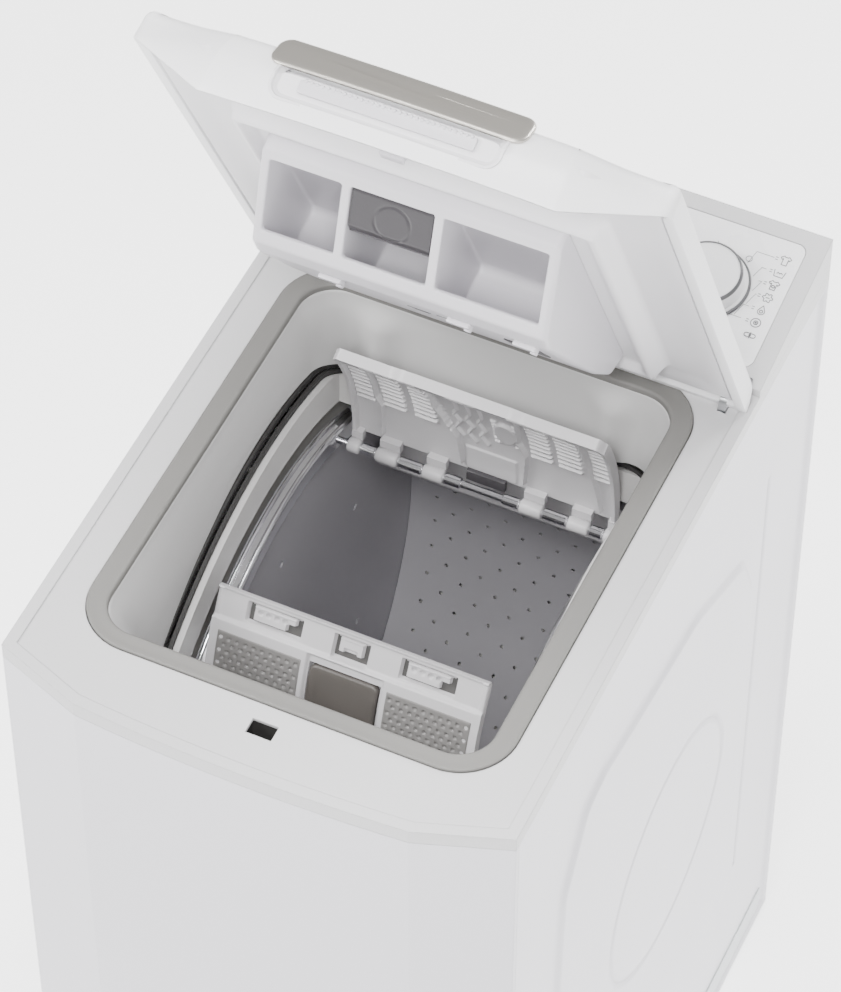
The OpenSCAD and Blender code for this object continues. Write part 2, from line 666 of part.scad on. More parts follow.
// ---- Drum flaps, drawn closed and turned open about their rods ----
module knuckles(hinge_r, hinge_a, r, reach_a) {
    for (x = [-90 : 36 : 90]) along_x(x - 10, x + 10) {
        translate([hinge_r * cos(hinge_a), hinge_r * sin(hinge_a)]) circle(r);
        sector(hinge_r - r + 2, drum_r - 2, hinge_a, reach_a);
    }
}
module rear_flap() color("#C6C4C4") turned(polar(rear_hinge_r, rear_hinge_a), -rear_flap_open)
    on_axis() difference() {
        union() {
            along_x(-111, 111) sector(drum_r - flap_t - 0.5, drum_r - 0.5, 68, 102);
            for (x = [-111, -70, -26, 23, 67, 108]) along_x(x, x + 3)
                sector(drum_r - 10, drum_r - 3, 69, 101);
            along_x(-111, 111) sector(drum_r - 10, drum_r - 3, 99.5, 101.5);
            knuckles(rear_hinge_r, rear_hinge_a, 6, 69.5);
        }
        rod_x(flap_bore, -120, 120, rear_hinge_r * cos(rear_hinge_a), rear_hinge_r * sin(rear_hinge_a));
        for (x = [-100, -60, 42, 82], i = [0 : 5]) rotate([79 + i * 2.6, 0, 0])
            block([x, drum_r - 8, -1.2], [x + 20, drum_r + 2, 1.2]);
        for (x = [-16 : 8 : 16], i = [0 : 5]) rotate([78 + i * 3, 0, 0])
            translate([x, drum_r - 8, 0]) rotate([-90, 0, 0]) cylinder(r = 1.8, h = 12, $fn = 16);
    }
module front_flap() color("#C6C4C4") turned(polar(front_hinge_r, front_hinge_a), front_flap_open)
    on_axis() difference() {
        union() {
            along_x(-109, 109) sector(drum_r - 7, drum_r - 4, 103.4, 110);
            along_x(-109, 109) sector(drum_r - 7, drum_r - 0.5, 109, 110.4);
            along_x(-109, 109) sector(drum_r - flap_t - 0.5, drum_r - 0.5, 109.8, 132.5);
            for (x = [-109, -60, -31, 28, 57, 106]) along_x(x, x + 3)
                sector(drum_r - 11, drum_r - 3, 104, 131);
            knuckles(front_hinge_r, front_hinge_a, 5.5, 131);
            for (x = [-62, 62]) along_x(x - 17, x + 17) sector(drum_r - 5, drum_r - 2, 104.2, 106.8);
            along_x(-9, 9) sector(drum_r - 5, drum_r - 2, 104.2, 106.8);
        }
        rod_x(flap_bore, -120, 120, front_hinge_r * cos(front_hinge_a),
              front_hinge_r * sin(front_hinge_a));
        along_x(-26.3, 26.3) sector(drum_r - 12, drum_r + 2, 112.2, 122.8);
    }
module flap_button() color("#474440") turned(polar(front_hinge_r, front_hinge_a), front_flap_open)
    on_axis() {
        along_x(-26, 26) sector(drum_r - 9, drum_r - 0.7, 112.35, 122.65);
        along_x(-27.5, 27.5) sector(drum_r - 11, drum_r - 9, 111.8, 123.2);
    }

// ---- Lid ----
module lid_block(i, n0, n1, rear) {
    slab(n0, n1) polygon(lid_outline(i, rear));
}
module lid_shell() color(white) in_lid() difference() {
    intersection() {
        union() {
            lid_block(0, rim_n, lid_n, 4);
            intersection() {
                lid_block(0, rim_n - apron_h, rim_n, 0);
                along_y(-500, -lid_corner_s + 6) polygon([
                    [-break_x, rim_n - apron_h], [break_x, rim_n - apron_h],
                    [lid_half, rim_n], [-lid_half, rim_n]]);
            }
        }
        along_x(-lid_half, lid_half) polygon([
            [1, rim_n], [4, -1], [4, 2], [-10, lid_n], [-lid_front_s + 16, lid_n],
            [-lid_front_s, rim_n], [-lid_front_s, rim_n - apron_h],
            [-lid_corner_s + 6, rim_n - apron_h], [-lid_corner_s + 6, rim_n]]);
    }
    intersection() {
        lid_block(lid_wall, rim_n - apron_h - 1, lid_n - lid_wall, -14);
        along_x(-lid_half, lid_half) polygon([
            [-14, rim_n - apron_h - 1], [-14, lid_n], [-lid_front_s + 19.5, lid_n],
            [-lid_front_s + 3, rim_n], [-lid_front_s + 3, rim_n - apron_h - 1]]);
    }
    both_sides() block([ear_x - 9, -16, rim_n - 1], [ear_x + ear_t + 9, 20, 5.5]);
    both_sides() block([ear_x - 0.5, -16, rim_n - 1], [ear_x + ear_t + 0.5, 20, 13]);
    block([-grip_x, -480, grip_n0], [grip_x, -lid_front_s + 25, grip_n1]);
}
module lid_liner() color(white) in_lid() {
    difference() {
        union() {
            intersection() {
                lid_block(lid_wall + 0.3, rim_n, rim_n + 2.5, -14.3);
                block([-200, -lid_front_s + 15, -10], [200, 0, 10]);
            }
            both_sides() for (x = [ear_x - 8.3, ear_x + ear_t + 0.7]) {
                block([x, -14.3, rim_n], [x + 7.6, 0, 4.6]);
                rod_x(4.1, x, x + 7.6, 0, 0);
            }
            block([-grip_x - 4, -lid_front_s + 23.9, rim_n + 1], [grip_x + 4, -grip_s + 3.2, grip_n1 + 3]);
        }
        both_sides() rod_x(pin_r, ear_x - 12, ear_x + ear_t + 12, 0, 0);
        block([-grip_x, -480, grip_n0], [grip_x, -grip_s, grip_n1]);
        block([-11.5, -grip_s - 1, grip_n0], [11.5, -grip_s + 5, grip_n1]);
        block([-14, -hook_s - hook_t - 5, rim_n - 1], [14, -hook_s + 4, rim_n + 3]);
    }
    for (x = [-16, 12]) difference() {
        block([x, -latch_pivot_s - 2.6, rim_n + 2.5], [x + 4, -latch_pivot_s + 4, latch_pivot_n + 5]);
        rod_x(2.5, x - 1, x + 5, -latch_pivot_s, latch_pivot_n);
    }
}
module lid_hinge_pins() color(steel) in_lid()
    both_sides() rod_x(pin_r, ear_x - 8, ear_x + ear_t + 8, 0, 0);
module handle_bar() color("#B8B5AE") in_lid() intersection() {
    block([-96, -lid_front_s - 8, grip_n1], [96, -lid_front_s + 14, lid_n + 1]);
    along_x(-96, 96) polygon([
        [-lid_front_s + 11, lid_n + 0.8], [-lid_front_s + 15.7, lid_n + 0.8],
        [-lid_front_s + 15.7, lid_n], [-lid_front_s + 8.3, grip_n1],
        [-lid_front_s + 3, grip_n1]]);
}
module lid_latch() color("#EDEBEE") in_lid() difference() {
    union() {
        block([-11, -grip_s - 5, 1], [11, -hook_s, 6]);
        block([-66, -grip_s - 5, 0.8], [66, -grip_s - 1, 6.8]);
        block([-9, -hook_s - hook_t, -19], [9, -hook_s, 6]);
        block([-9, -hook_s - hook_t - 2.5, -23], [9, -hook_s, -19]);
        rod_x(2.45, -15.5, 15.5, -latch_pivot_s, latch_pivot_n);
    }
    block([-5, -hook_s - hook_t + 2, -16], [5, -hook_s + 1, -2]);
}

// Dispenser under the lid, profile in the lid's own frame
disp_top = [-341, -24];
disp_lip = [-285, -74];
disp_half = 112;
disp_wall = 2.5;
disp_dividers = [-48, 22];
module dispenser() color("#E9E7EB") in_lid() difference() {
    along_x(-disp_half, disp_half) polygon([
        [disp_top[0], rim_n - 0.3], disp_top, disp_lip, [-270, -75], [-200, -62], [-120, -44],
        [-76, -30], [-64, rim_n - 0.3]]);
    for (x = [[-disp_half + disp_wall, disp_dividers[0]], [disp_dividers[0] + 3.5, disp_dividers[1]],
              [disp_dividers[1] + 3.5, disp_half - disp_wall]])
        along_x(x[0], x[1]) polygon([
            [disp_top[0] - 6, disp_top[1] - 4], [disp_lip[0] - 6, disp_lip[1] - 2],
            [disp_lip[0] + 4, disp_lip[1] + 4], [-200, -57], [-190, -16], [-325, -12],
            [disp_top[0] + 6, disp_top[1] - 2], [disp_top[0] + 2, disp_top[1] - 6]]);
    along_x(-disp_half + disp_wall, disp_half - disp_wall) polygon([
        [-187, rim_n], [-187, -55], [-120, -40], [-80, -28], [-70, rim_n]]);
}
module siphon_cap() color("#807A80") in_lid() intersection() {
    along_x(disp_dividers[0] + 4.5, disp_dividers[1] - 1) polygon([
        [disp_top[0] + 9.5, disp_top[1] - 6], [disp_top[0] + 30, disp_top[1] - 30],
        [disp_top[0] + 34, disp_top[1] - 27], [disp_top[0] + 14, disp_top[1] - 3.5]]);
}

// ---- Feet ----
module foot(x, y) color(dark) {
    rod_z(20, 0, 8, x, y);
    rod_z(8, 8, foot_h - 0.2, x, y);
    rod_z(stud_r, 8, foot_h + 27, x, y);
}
module foot_front_left() foot(foot_xs[0], foot_ys[0]);
module foot_front_right() foot(foot_xs[1], foot_ys[0]);
module foot_rear_left() foot(foot_xs[0], foot_ys[1]);
module foot_rear_right() foot(foot_xs[1], foot_ys[1]);

base_frame();
left_side_panel();
right_side_panel();
front_panel();
rear_panel();
rear_access_cover();
top_frame();
collar();
collar_bellows();
lid_seal();
lid_lock();
hinge_brackets();
console_body();
console_fascia();
control_board();
programme_switch();
inlet_valve();
fill_pipe();
drain_pump();
pump_impeller();
drain_pipe();
sump_hose();
cord_gland();
cabinet_screws();
suspension_springs();
damper_cylinders();
damper_rods();
tub_shell();
tub_ends();
tub_mouth();
bearings();
counterweights();
drive_motor();
heater();
drive_belt();
motor_pulley();
drum_shell();
drum_ends();
drum_shafts();
lifters();
drum_pulley();
flap_hinge_rods();
rear_flap();
front_flap();
flap_button();
lid_shell();
lid_liner();
handle_bar();
lid_hinge_pins();
lid_latch();
dispenser();
siphon_cap();
programme_knob();
start_button();
filter_cap();
filter_flap();
foot_front_left();
foot_front_right();
foot_rear_left();
foot_rear_right();
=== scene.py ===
"""Looks of a 40 cm top load washing machine with its lid open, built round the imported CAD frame."""

import json
import math

import bmesh
import bpy
import numpy as np
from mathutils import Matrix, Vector


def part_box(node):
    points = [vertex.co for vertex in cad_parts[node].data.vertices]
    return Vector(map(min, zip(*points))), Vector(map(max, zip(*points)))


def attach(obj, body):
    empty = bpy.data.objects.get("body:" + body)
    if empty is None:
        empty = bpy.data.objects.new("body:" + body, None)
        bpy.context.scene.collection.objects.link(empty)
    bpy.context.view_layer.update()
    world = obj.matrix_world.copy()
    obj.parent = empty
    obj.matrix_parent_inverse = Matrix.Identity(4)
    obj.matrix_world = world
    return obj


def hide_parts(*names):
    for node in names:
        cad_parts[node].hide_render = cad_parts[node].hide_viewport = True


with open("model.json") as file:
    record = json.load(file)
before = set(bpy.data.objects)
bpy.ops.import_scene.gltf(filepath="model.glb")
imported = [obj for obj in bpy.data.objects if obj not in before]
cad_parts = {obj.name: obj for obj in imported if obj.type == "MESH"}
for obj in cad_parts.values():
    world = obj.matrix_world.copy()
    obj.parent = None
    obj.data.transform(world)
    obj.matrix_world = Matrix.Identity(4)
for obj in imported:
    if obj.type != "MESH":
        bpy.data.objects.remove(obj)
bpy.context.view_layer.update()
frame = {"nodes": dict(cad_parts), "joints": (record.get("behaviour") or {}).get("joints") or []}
MM = 0.001


# ---- Places, in millimetres, read from the frame ----
def corners(node):
    """Lowest and highest corner of a CAD node, in millimetres."""
    low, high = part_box(node)
    return [c / MM for c in low], [c / MM for c in high]


def joint(name):
    return next(j for j in frame["joints"] if j["name"] == name)


def pivot(name):
    return [c / MM for c in joint(name)["pos_m"]]


_, lid_y, lid_z = pivot("lid_hinge")
lid_open = math.radians(joint("lid_hinge")["range_deg"][1])
drum_y, drum_z = [(a + b) / 2 for a, b in zip(*corners("drum_ends"))][1:]
rear_hinge = pivot("rear_flap_hinge")
front_hinge = pivot("front_flap_hinge")
rear_open = math.radians(69)
front_open = math.radians(44)
rear_y = corners("console_body")[1][1]
console_y = corners("console_body")[0][1]
console_front_z = 868
console_top = corners("console_body")[1][2]
slope = math.atan((console_top - console_front_z) / (rear_y - console_y))
seal_low, seal_high = corners("lid_seal")
rim_n = -4.2
lid_n = 18.8
apron_n = rim_n - 28
lid_half = 197
lid_front = 461.5


def in_lid(x, s, n):
    """Lid coordinates: s runs from the hinge to the front edge, n out of the lid's top."""
    c, d = math.cos(lid_open), math.sin(lid_open)
    return np.stack([x + 0 * s, lid_y - c * s + d * n, lid_z + d * s + c * n], -1)


def on_console(x, v, h):
    """Console coordinates: v runs up the slope, h out of it."""
    c, d = math.cos(slope), math.sin(slope)
    return np.stack([x + 0 * v, console_y + c * v - d * h, console_front_z + d * v + c * h], -1)


def turned(y, z, hinge, angle):
    """Turns points about a line along X through hinge."""
    c, d = math.cos(angle), math.sin(angle)
    dy, dz = y - hinge[1], z - hinge[2]
    return hinge[1] + c * dy - d * dz, hinge[2] + d * dy + c * dz


# ---- Mesh tools ----
class Shape:
    """Collects the vertices and faces of one piece, in millimetres."""

    def __init__(self):
        self.verts = []
        self.faces = []

    def add(self, points, faces):
        start = len(self.verts)
        self.verts.extend(np.asarray(points, float).reshape(-1, 3).tolist())
        self.faces.extend([[start + i for i in f] for f in faces])

    def loft(self, rings, cap=True, closed=True):
        """Joins rings of equal length, each a list of points, and closes both ends."""
        rings = [np.asarray(r, float) for r in rings]
        n = len(rings[0])
        faces = []
        for k in range(len(rings) - 1):
            for i in range(n if closed else n - 1):
                j = (i + 1) % n
                faces.append([k * n + i, k * n + j, (k + 1) * n + j, (k + 1) * n + i])
        if cap:
            faces.append(list(range(n))[::-1])
            faces.append([(len(rings) - 1) * n + i for i in range(n)])
        self.add(np.concatenate(rings), faces)

    def ring(self, rings):
        """A closed tube of rings, the last joined to the first."""
        rings = [np.asarray(r, float) for r in rings]
        n, m = len(rings[0]), len(rings)
        faces = []
        for k in range(m):
            for i in range(n):
                j, k2 = (i + 1) % n, (k + 1) % m
                faces.append([k * n + i, k * n + j, k2 * n + j, k2 * n + i])
        self.add(np.concatenate(rings), faces)

    def relief(self, top, bottom):
        """A closed sheet between two grids of points of one size."""
        a, b = top.shape[:2]
        faces = []
        for i in range(a - 1):
            for j in range(b - 1):
                q = [i * b + j, (i + 1) * b + j, (i + 1) * b + j + 1, i * b + j + 1]
                faces.append(q)
                faces.append([a * b + k for k in q[::-1]])
        edge = [i * b for i in range(a)] + [(a - 1) * b + j for j in range(1, b)]
        edge += [i * b + b - 1 for i in range(a - 2, -1, -1)] + [j for j in range(b - 2, 0, -1)]
        for p, q in zip(edge, edge[1:] + edge[:1]):
            faces.append([p, q, a * b + q, a * b + p])
        self.add(np.concatenate([top.reshape(-1, 3), bottom.reshape(-1, 3)]), faces)

    def block(self, low, high, place=None, cut=1):
        """A box, cut along its second axis so that it can follow a curve."""
        rings = []
        for t in np.linspace(low[1], high[1], cut + 1):
            rings.append([(low[0], t, low[2]), (high[0], t, low[2]),
                          (high[0], t, high[2]), (low[0], t, high[2])])
        rings = [np.array(r, float) for r in rings]
        if place:
            rings = [place(r[:, 0], r[:, 1], r[:, 2]) for r in rings]
        self.loft(rings)


def fillet(points, radius, steps=5):
    """Rounds the corners of a closed outline."""
    out = []
    m = len(points)
    for i in range(m):
        p, c, q = [np.array(points[k % m], float) for k in (i - 1, i, i + 1)]
        r = radius[i] if isinstance(radius, (list, tuple)) else radius
        u, v = (p - c) / np.linalg.norm(p - c), (q - c) / np.linalg.norm(q - c)
        turn = math.acos(max(-1, min(1, float(u @ v))))
        if r <= 0 or turn > math.radians(176):
            out.append(c)
            continue
        back = min(r / math.tan(turn / 2), 0.48 * np.linalg.norm(p - c), 0.48 * np.linalg.norm(q - c))
        for t in np.linspace(0, 1, steps + 1):
            out.append((1 - t) ** 2 * (c + u * back) + 2 * t * (1 - t) * c + t * t * (c + v * back))
    return np.array(out)


def rounded_rect(x0, y0, x1, y1, r, steps=8, along=12):
    """Points round a rectangle with rounded corners, always the same number of them."""
    out = []
    spots = [(x1 - r, y1 - r, 0), (x0 + r, y1 - r, 90), (x0 + r, y0 + r, 180), (x1 - r, y0 + r, 270)]
    for k, (cx, cy, a) in enumerate(spots):
        arc = [(cx + r * math.cos(math.radians(a + 90 * t / steps)),
                cy + r * math.sin(math.radians(a + 90 * t / steps))) for t in range(steps + 1)]
        nx, ny, na = spots[(k + 1) % 4]
        goal = (nx + r * math.cos(math.radians(na)), ny + r * math.sin(math.radians(na)))
        out += arc
        out += [(arc[-1][0] + (goal[0] - arc[-1][0]) * t / along,
                 arc[-1][1] + (goal[1] - arc[-1][1]) * t / along) for t in range(1, along)]
    return np.array(out)


def smoothstep(t):
    t = np.clip(t, 0, 1)
    return t * t * (3 - 2 * t)


def pad(x, u, x0, x1, u0, u1, soft=1.0):
    """1 inside a box of the plane and 0 outside, with soft edges."""
    return (smoothstep((x - x0) / soft + 0.5) * smoothstep((x1 - x) / soft + 0.5)
            * smoothstep((u - u0) / soft + 0.5) * smoothstep((u1 - u) / soft + 0.5))


def dot(x, u, cx, cu, r, soft=0.8):
    return smoothstep((r - np.hypot(x - cx, u - cu)) / soft + 0.5)


def line(x, u, points, width, soft=0.8):
    """1 along a bent line of the plane."""
    best = np.full(np.shape(x), 1e9)
    for (ax, au), (bx, bu) in zip(points, points[1:]):
        dx, du = bx - ax, bu - au
        t = np.clip(((x - ax) * dx + (u - au) * du) / (dx * dx + du * du), 0, 1)
        best = np.minimum(best, np.hypot(x - ax - t * dx, u - au - t * du))
    return smoothstep((width / 2 - best) / soft + 0.5)


def make(name, shape, body, material, replaces=(), sharp=35, bevel=0.0):
    """Turns a shape into a piece that rides on a body."""
    mesh = bpy.data.meshes.new(name)
    mesh.from_pydata([[c * MM for c in v] for v in shape.verts], [], shape.faces)
    bm = bmesh.new()
    bm.from_mesh(mesh)
    bmesh.ops.remove_doubles(bm, verts=bm.verts, dist=1e-6)
    bmesh.ops.recalc_face_normals(bm, faces=bm.faces)
    bm.to_mesh(mesh)
    bm.free()
    piece = bpy.data.objects.new(name, mesh)
    bpy.context.collection.objects.link(piece)
    if bevel:
        mod = piece.modifiers.new("edges", "BEVEL")
        mod.width = bevel * MM
        mod.segments = 3
        mod.limit_method = "ANGLE"
        mod.angle_limit = math.radians(35)
        settle(piece)
    finish_mesh(piece, sharp)
    piece.data.materials.append(material)
    if body:
        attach(piece, body)
    if replaces:
        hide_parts(*replaces)
    return piece


def finish_mesh(piece, sharp):
    mesh = piece.data
    mesh.polygons.foreach_set("use_smooth", [True] * len(mesh.polygons))
    mesh.set_sharp_from_angle(angle=math.radians(sharp))


def settle(piece):
    """Applies a piece's modifiers to its mesh."""
    bpy.context.view_layer.update()
    result = bpy.data.meshes.new_from_object(piece.evaluated_get(bpy.context.evaluated_depsgraph_get()))
    piece.modifiers.clear()
    piece.data = result


def carve(piece, shape, sharp=35):
    """Cuts a shape out of a piece."""
    tool = make("cutter", shape, None, bpy.data.materials[0])
    mod = piece.modifiers.new("cut", "BOOLEAN")
    mod.object = tool
    mod.solver = "EXACT"
    settle(piece)
    bpy.data.objects.remove(tool)
    finish_mesh(piece, sharp)


def soften(piece, voxel, rounds, keep=1.0):
    """Rounds every edge as moulding does: a fine remesh, then smoothing."""
    mod = piece.modifiers.new("remesh", "REMESH")
    mod.mode = "VOXEL"
    mod.voxel_size = voxel * MM
    mod = piece.modifiers.new("smooth", "SMOOTH")
    mod.factor = 0.5
    mod.iterations = rounds
    if keep < 1:
        mod = piece.modifiers.new("thin", "DECIMATE")
        mod.ratio = keep
    settle(piece)
    finish_mesh(piece, 60)


# ---- Materials ----
def finish(name, color, rough, metal=0.0, speckle=0.03, grain=0.0006, size=400.0, bevel=0.0, coat=0.0,
           spread=None, stretch=(1, 1, 1), bump=0.15):
    """A surface whose colour, gloss and fine grain vary over it."""
    material = bpy.data.materials.new(name)
    material.use_nodes = True
    nodes, links = material.node_tree.nodes, material.node_tree.links
    shader = nodes["Principled BSDF"]
    shader.inputs["Metallic"].default_value = metal
    if coat:
        shader.inputs["Coat Weight"].default_value = coat
        shader.inputs["Coat Roughness"].default_value = 0.12
    place = nodes.new("ShaderNodeTexCoord")
    scale = nodes.new("ShaderNodeMapping")
    scale.inputs["Scale"].default_value = stretch
    links.new(place.outputs["Object"], scale.inputs["Vector"])
    broad = nodes.new("ShaderNodeTexNoise")
    broad.inputs["Scale"].default_value = 9
    broad.inputs["Detail"].default_value = 5
    links.new(scale.outputs["Vector"], broad.inputs["Vector"])
    tint = nodes.new("ShaderNodeMix")
    tint.data_type = "RGBA"
    dark = [c * (1 - speckle) for c in color]
    light = spread or [min(1, c * (1 + speckle)) for c in color]
    tint.inputs[6].default_value = (*dark, 1)
    tint.inputs[7].default_value = (*light, 1)
    links.new(broad.outputs["Fac"], tint.inputs["Factor"])
    links.new(tint.outputs[2], shader.inputs["Base Color"])
    gloss = nodes.new("ShaderNodeMapRange")
    gloss.inputs["To Min"].default_value = max(0.02, rough - 0.06)
    gloss.inputs["To Max"].default_value = rough + 0.06
    links.new(broad.outputs["Fac"], gloss.inputs["Value"])
    links.new(gloss.outputs["Result"], shader.inputs["Roughness"])
    fine = nodes.new("ShaderNodeTexNoise")
    fine.inputs["Scale"].default_value = size
    fine.inputs["Detail"].default_value = 3
    links.new(scale.outputs["Vector"], fine.inputs["Vector"])
    skin = nodes.new("ShaderNodeBump")
    skin.inputs["Strength"].default_value = bump
    skin.inputs["Distance"].default_value = grain
    links.new(fine.outputs["Fac"], skin.inputs["Height"])
    if bevel:
        edge = nodes.new("ShaderNodeBevel")
        edge.samples = 4
        edge.inputs["Radius"].default_value = bevel * MM
        links.new(edge.outputs["Normal"], skin.inputs["Normal"])
    links.new(skin.outputs["Normal"], shader.inputs["Normal"])
    return material


white_paint = finish("white_paint", (0.68, 0.67, 0.71), 0.33, speckle=0.012, bevel=1.6,
                     coat=0.15, grain=0.0003)
frame_plastic = finish("frame_plastic", (0.57, 0.565, 0.572), 0.36, speckle=0.015, bevel=1.4)
lid_plastic = finish("lid_plastic", (0.79, 0.787, 0.80), 0.34, speckle=0.012, bevel=0.8)
liner_plastic = finish("liner_plastic", (0.68, 0.67, 0.69), 0.42, speckle=0.02, size=700)
tray_plastic = finish("tray_plastic", (0.56, 0.545, 0.575), 0.34, speckle=0.015, size=600)
collar_plastic = finish("collar_plastic", (0.52, 0.515, 0.51), 0.38, speckle=0.02)
mouth_plastic = finish("mouth_plastic", (0.56, 0.55, 0.54), 0.42, speckle=0.03, bevel=0.8)
seal_rubber = finish("seal_rubber", (0.17, 0.166, 0.157), 0.62, speckle=0.03, size=1200, grain=0.0004)
flap_plastic = finish("flap_plastic", (0.50, 0.49, 0.50), 0.4, speckle=0.025, size=900)
button_plastic = finish("button_plastic", (0.075, 0.068, 0.062), 0.42, speckle=0.06, size=900)
cap_plastic = finish("cap_plastic", (0.045, 0.042, 0.046), 0.33, speckle=0.04)
handle_metal = finish("handle_metal", (0.52, 0.495, 0.455), 0.36, metal=0.85, speckle=0.03,
                      size=900, stretch=(0.04, 1, 1), grain=0.0002, bump=0.3)
chrome = finish("chrome", (0.82, 0.82, 0.84), 0.1, metal=1, speckle=0.01, grain=0.0001, bump=0.05)
drum_steel = finish("drum_steel", (0.40, 0.39, 0.415), 0.42, metal=0.15, speckle=0.05,
                    stretch=(1, 0.15, 0.15),
                    size=700, grain=0.0001)
bare_steel = finish("bare_steel", (0.55, 0.56, 0.57), 0.35, metal=1, speckle=0.05, bevel=0.6)
zinc_sheet = finish("zinc_sheet", (0.55, 0.57, 0.58), 0.45, metal=0.9, speckle=0.09, bevel=0.8, grain=0.0004)
black_rubber = finish("black_rubber", (0.03, 0.029, 0.028), 0.65, speckle=0.15, size=800)
black_plastic = finish("black_plastic", (0.045, 0.043, 0.042), 0.5, speckle=0.1, size=800, bevel=0.8)
tub_plastic = finish("tub_plastic", (0.55, 0.54, 0.52), 0.5, speckle=0.05, bevel=1.0, grain=0.0008)
pad_grey = finish("pad_grey", (0.17, 0.165, 0.16), 0.5, speckle=0.04, size=900)
# Near-black colour for the sheets laid in the front flap's cut-outs: painted shade for the darkness inside
# the openings.
slot_dark = finish("slot_dark", (0.07, 0.068, 0.066), 0.55, speckle=0.05)
print_grey = finish("print_grey", (0.12, 0.12, 0.125), 0.5, speckle=0.05)
ring_dark = finish("ring_dark", (0.10, 0.10, 0.105), 0.35, speckle=0.05)
fascia_white = finish("fascia_white", (0.90, 0.895, 0.91), 0.28, speckle=0.008, coat=0.3, grain=0.0002)
board_green = finish("board_green", (0.03, 0.12, 0.05), 0.45, speckle=0.2)
cast_iron = finish("cast_iron", (0.16, 0.155, 0.15), 0.6, metal=0.4, speckle=0.15, grain=0.002, size=200)
concrete = finish("concrete", (0.34, 0.33, 0.31), 0.85, speckle=0.2, grain=0.003, size=150)

looks = {
    white_paint: ["left_side_panel", "right_side_panel", "front_panel", "filter_flap", "filter_cap"],
    frame_plastic: ["top_frame", "console_body"],
    zinc_sheet: ["base_frame", "rear_panel", "rear_access_cover"],
    black_plastic: ["lid_lock", "programme_switch", "cord_gland", "damper_cylinders", "pump_impeller",
                    "foot_front_left", "foot_front_right", "foot_rear_left", "foot_rear_right"],
    bare_steel: ["hinge_brackets", "lid_hinge_pins", "drum_shafts", "bearings", "drive_motor", "heater",
                 "damper_rods", "motor_pulley", "cabinet_screws", "suspension_springs"],
    tub_plastic: ["tub_shell", "tub_ends", "inlet_valve", "fill_pipe", "drain_pump", "drain_pipe"],
    mouth_plastic: ["tub_mouth"],
    black_rubber: ["collar_bellows", "sump_hose", "drive_belt"],
    cast_iron: ["drum_pulley"],
    concrete: ["counterweights"],
    board_green: ["control_board"],
    drum_steel: ["drum_shell", "drum_ends"],
    chrome: ["flap_hinge_rods"],
    flap_plastic: ["lifters", "rear_flap", "front_flap"],
    button_plastic: ["flap_button"],
    collar_plastic: ["collar"],
    seal_rubber: ["lid_seal"],
    lid_plastic: ["lid_shell", "programme_knob", "start_button", "lid_latch"],
    liner_plastic: ["lid_liner"],
    tray_plastic: ["dispenser"],
    cap_plastic: ["siphon_cap"],
    handle_metal: ["handle_bar"],
    fascia_white: ["console_fascia"],
}
for material, names in looks.items():
    for name in names:
        node = frame["nodes"][name] if isinstance(frame["nodes"], dict) else bpy.data.objects[name]
        node.data.materials.clear()
        node.data.materials.append(material)


# ---- Camera, light and floor ----
camera_place = (0.9027, -1.9422, 3.4485)
camera_aim = (-0.26665, 0.57351, -0.77459)
camera_lens = 166.8
camera_sensor = 36
room_light = 0.42
floor_glow = 2.2


def stage_set():
    """The photograph's camera, a pale floor, an even room and five soft lamps."""
    data = bpy.data.cameras.new("camera")
    data.lens = camera_lens
    data.sensor_width = camera_sensor
    data.clip_end = 30
    camera = bpy.data.objects.new("camera", data)
    camera.location = camera_place
    camera.rotation_euler = Vector(camera_aim).to_track_quat("-Z", "Y").to_euler()
    bpy.context.collection.objects.link(camera)
    bpy.context.scene.camera = camera

    floor = Shape()
    floor.add([(-6000, -6000, 0), (6000, -6000, 0), (6000, 6000, 0), (-6000, 6000, 0)], [[0, 1, 2, 3]])
    pale = finish("floor_pale", (0.93, 0.93, 0.93), 0.8, speckle=0.005, bump=0.02)
    glow = pale.node_tree.nodes["Principled BSDF"].inputs
    glow["Emission Color"].default_value = (1, 1, 1, 1)
    glow["Emission Strength"].default_value = floor_glow
    make("floor", floor, None, pale)

    world = bpy.data.worlds.new("soft_room")
    world.use_nodes = True
    world.node_tree.nodes["Background"].inputs["Color"].default_value = (1, 1, 1, 1)
    world.node_tree.nodes["Background"].inputs["Strength"].default_value = room_light
    bpy.context.scene.world = world
    for name, place, goal, size, watts in (
        ("key", (-1.7, -1.0, 2.7), (0, 0, 0.8), 1.0, 88),
        ("fill", (2.3, -1.3, 1.9), (0, 0, 0.6), 1.6, 30),
        ("rake", (0.95, 1.7, 1.75), (0.2, 0, 0.45), 0.6, 44),
        ("top", (-0.2, 0.2, 3.4), (0, 0, 0.8), 1.0, 46),
        ("inside", (0.28, -0.85, 2.05), (-0.02, 0.05, 0.45), 0.35, 26),
    ):
        light = bpy.data.lights.new(name, "AREA")
        light.size = size
        light.energy = watts
        lamp = bpy.data.objects.new(name, light)
        lamp.location = place
        lamp.rotation_euler = (Vector(goal) - Vector(place)).to_track_quat("-Z", "Y").to_euler()
        bpy.context.collection.objects.link(lamp)


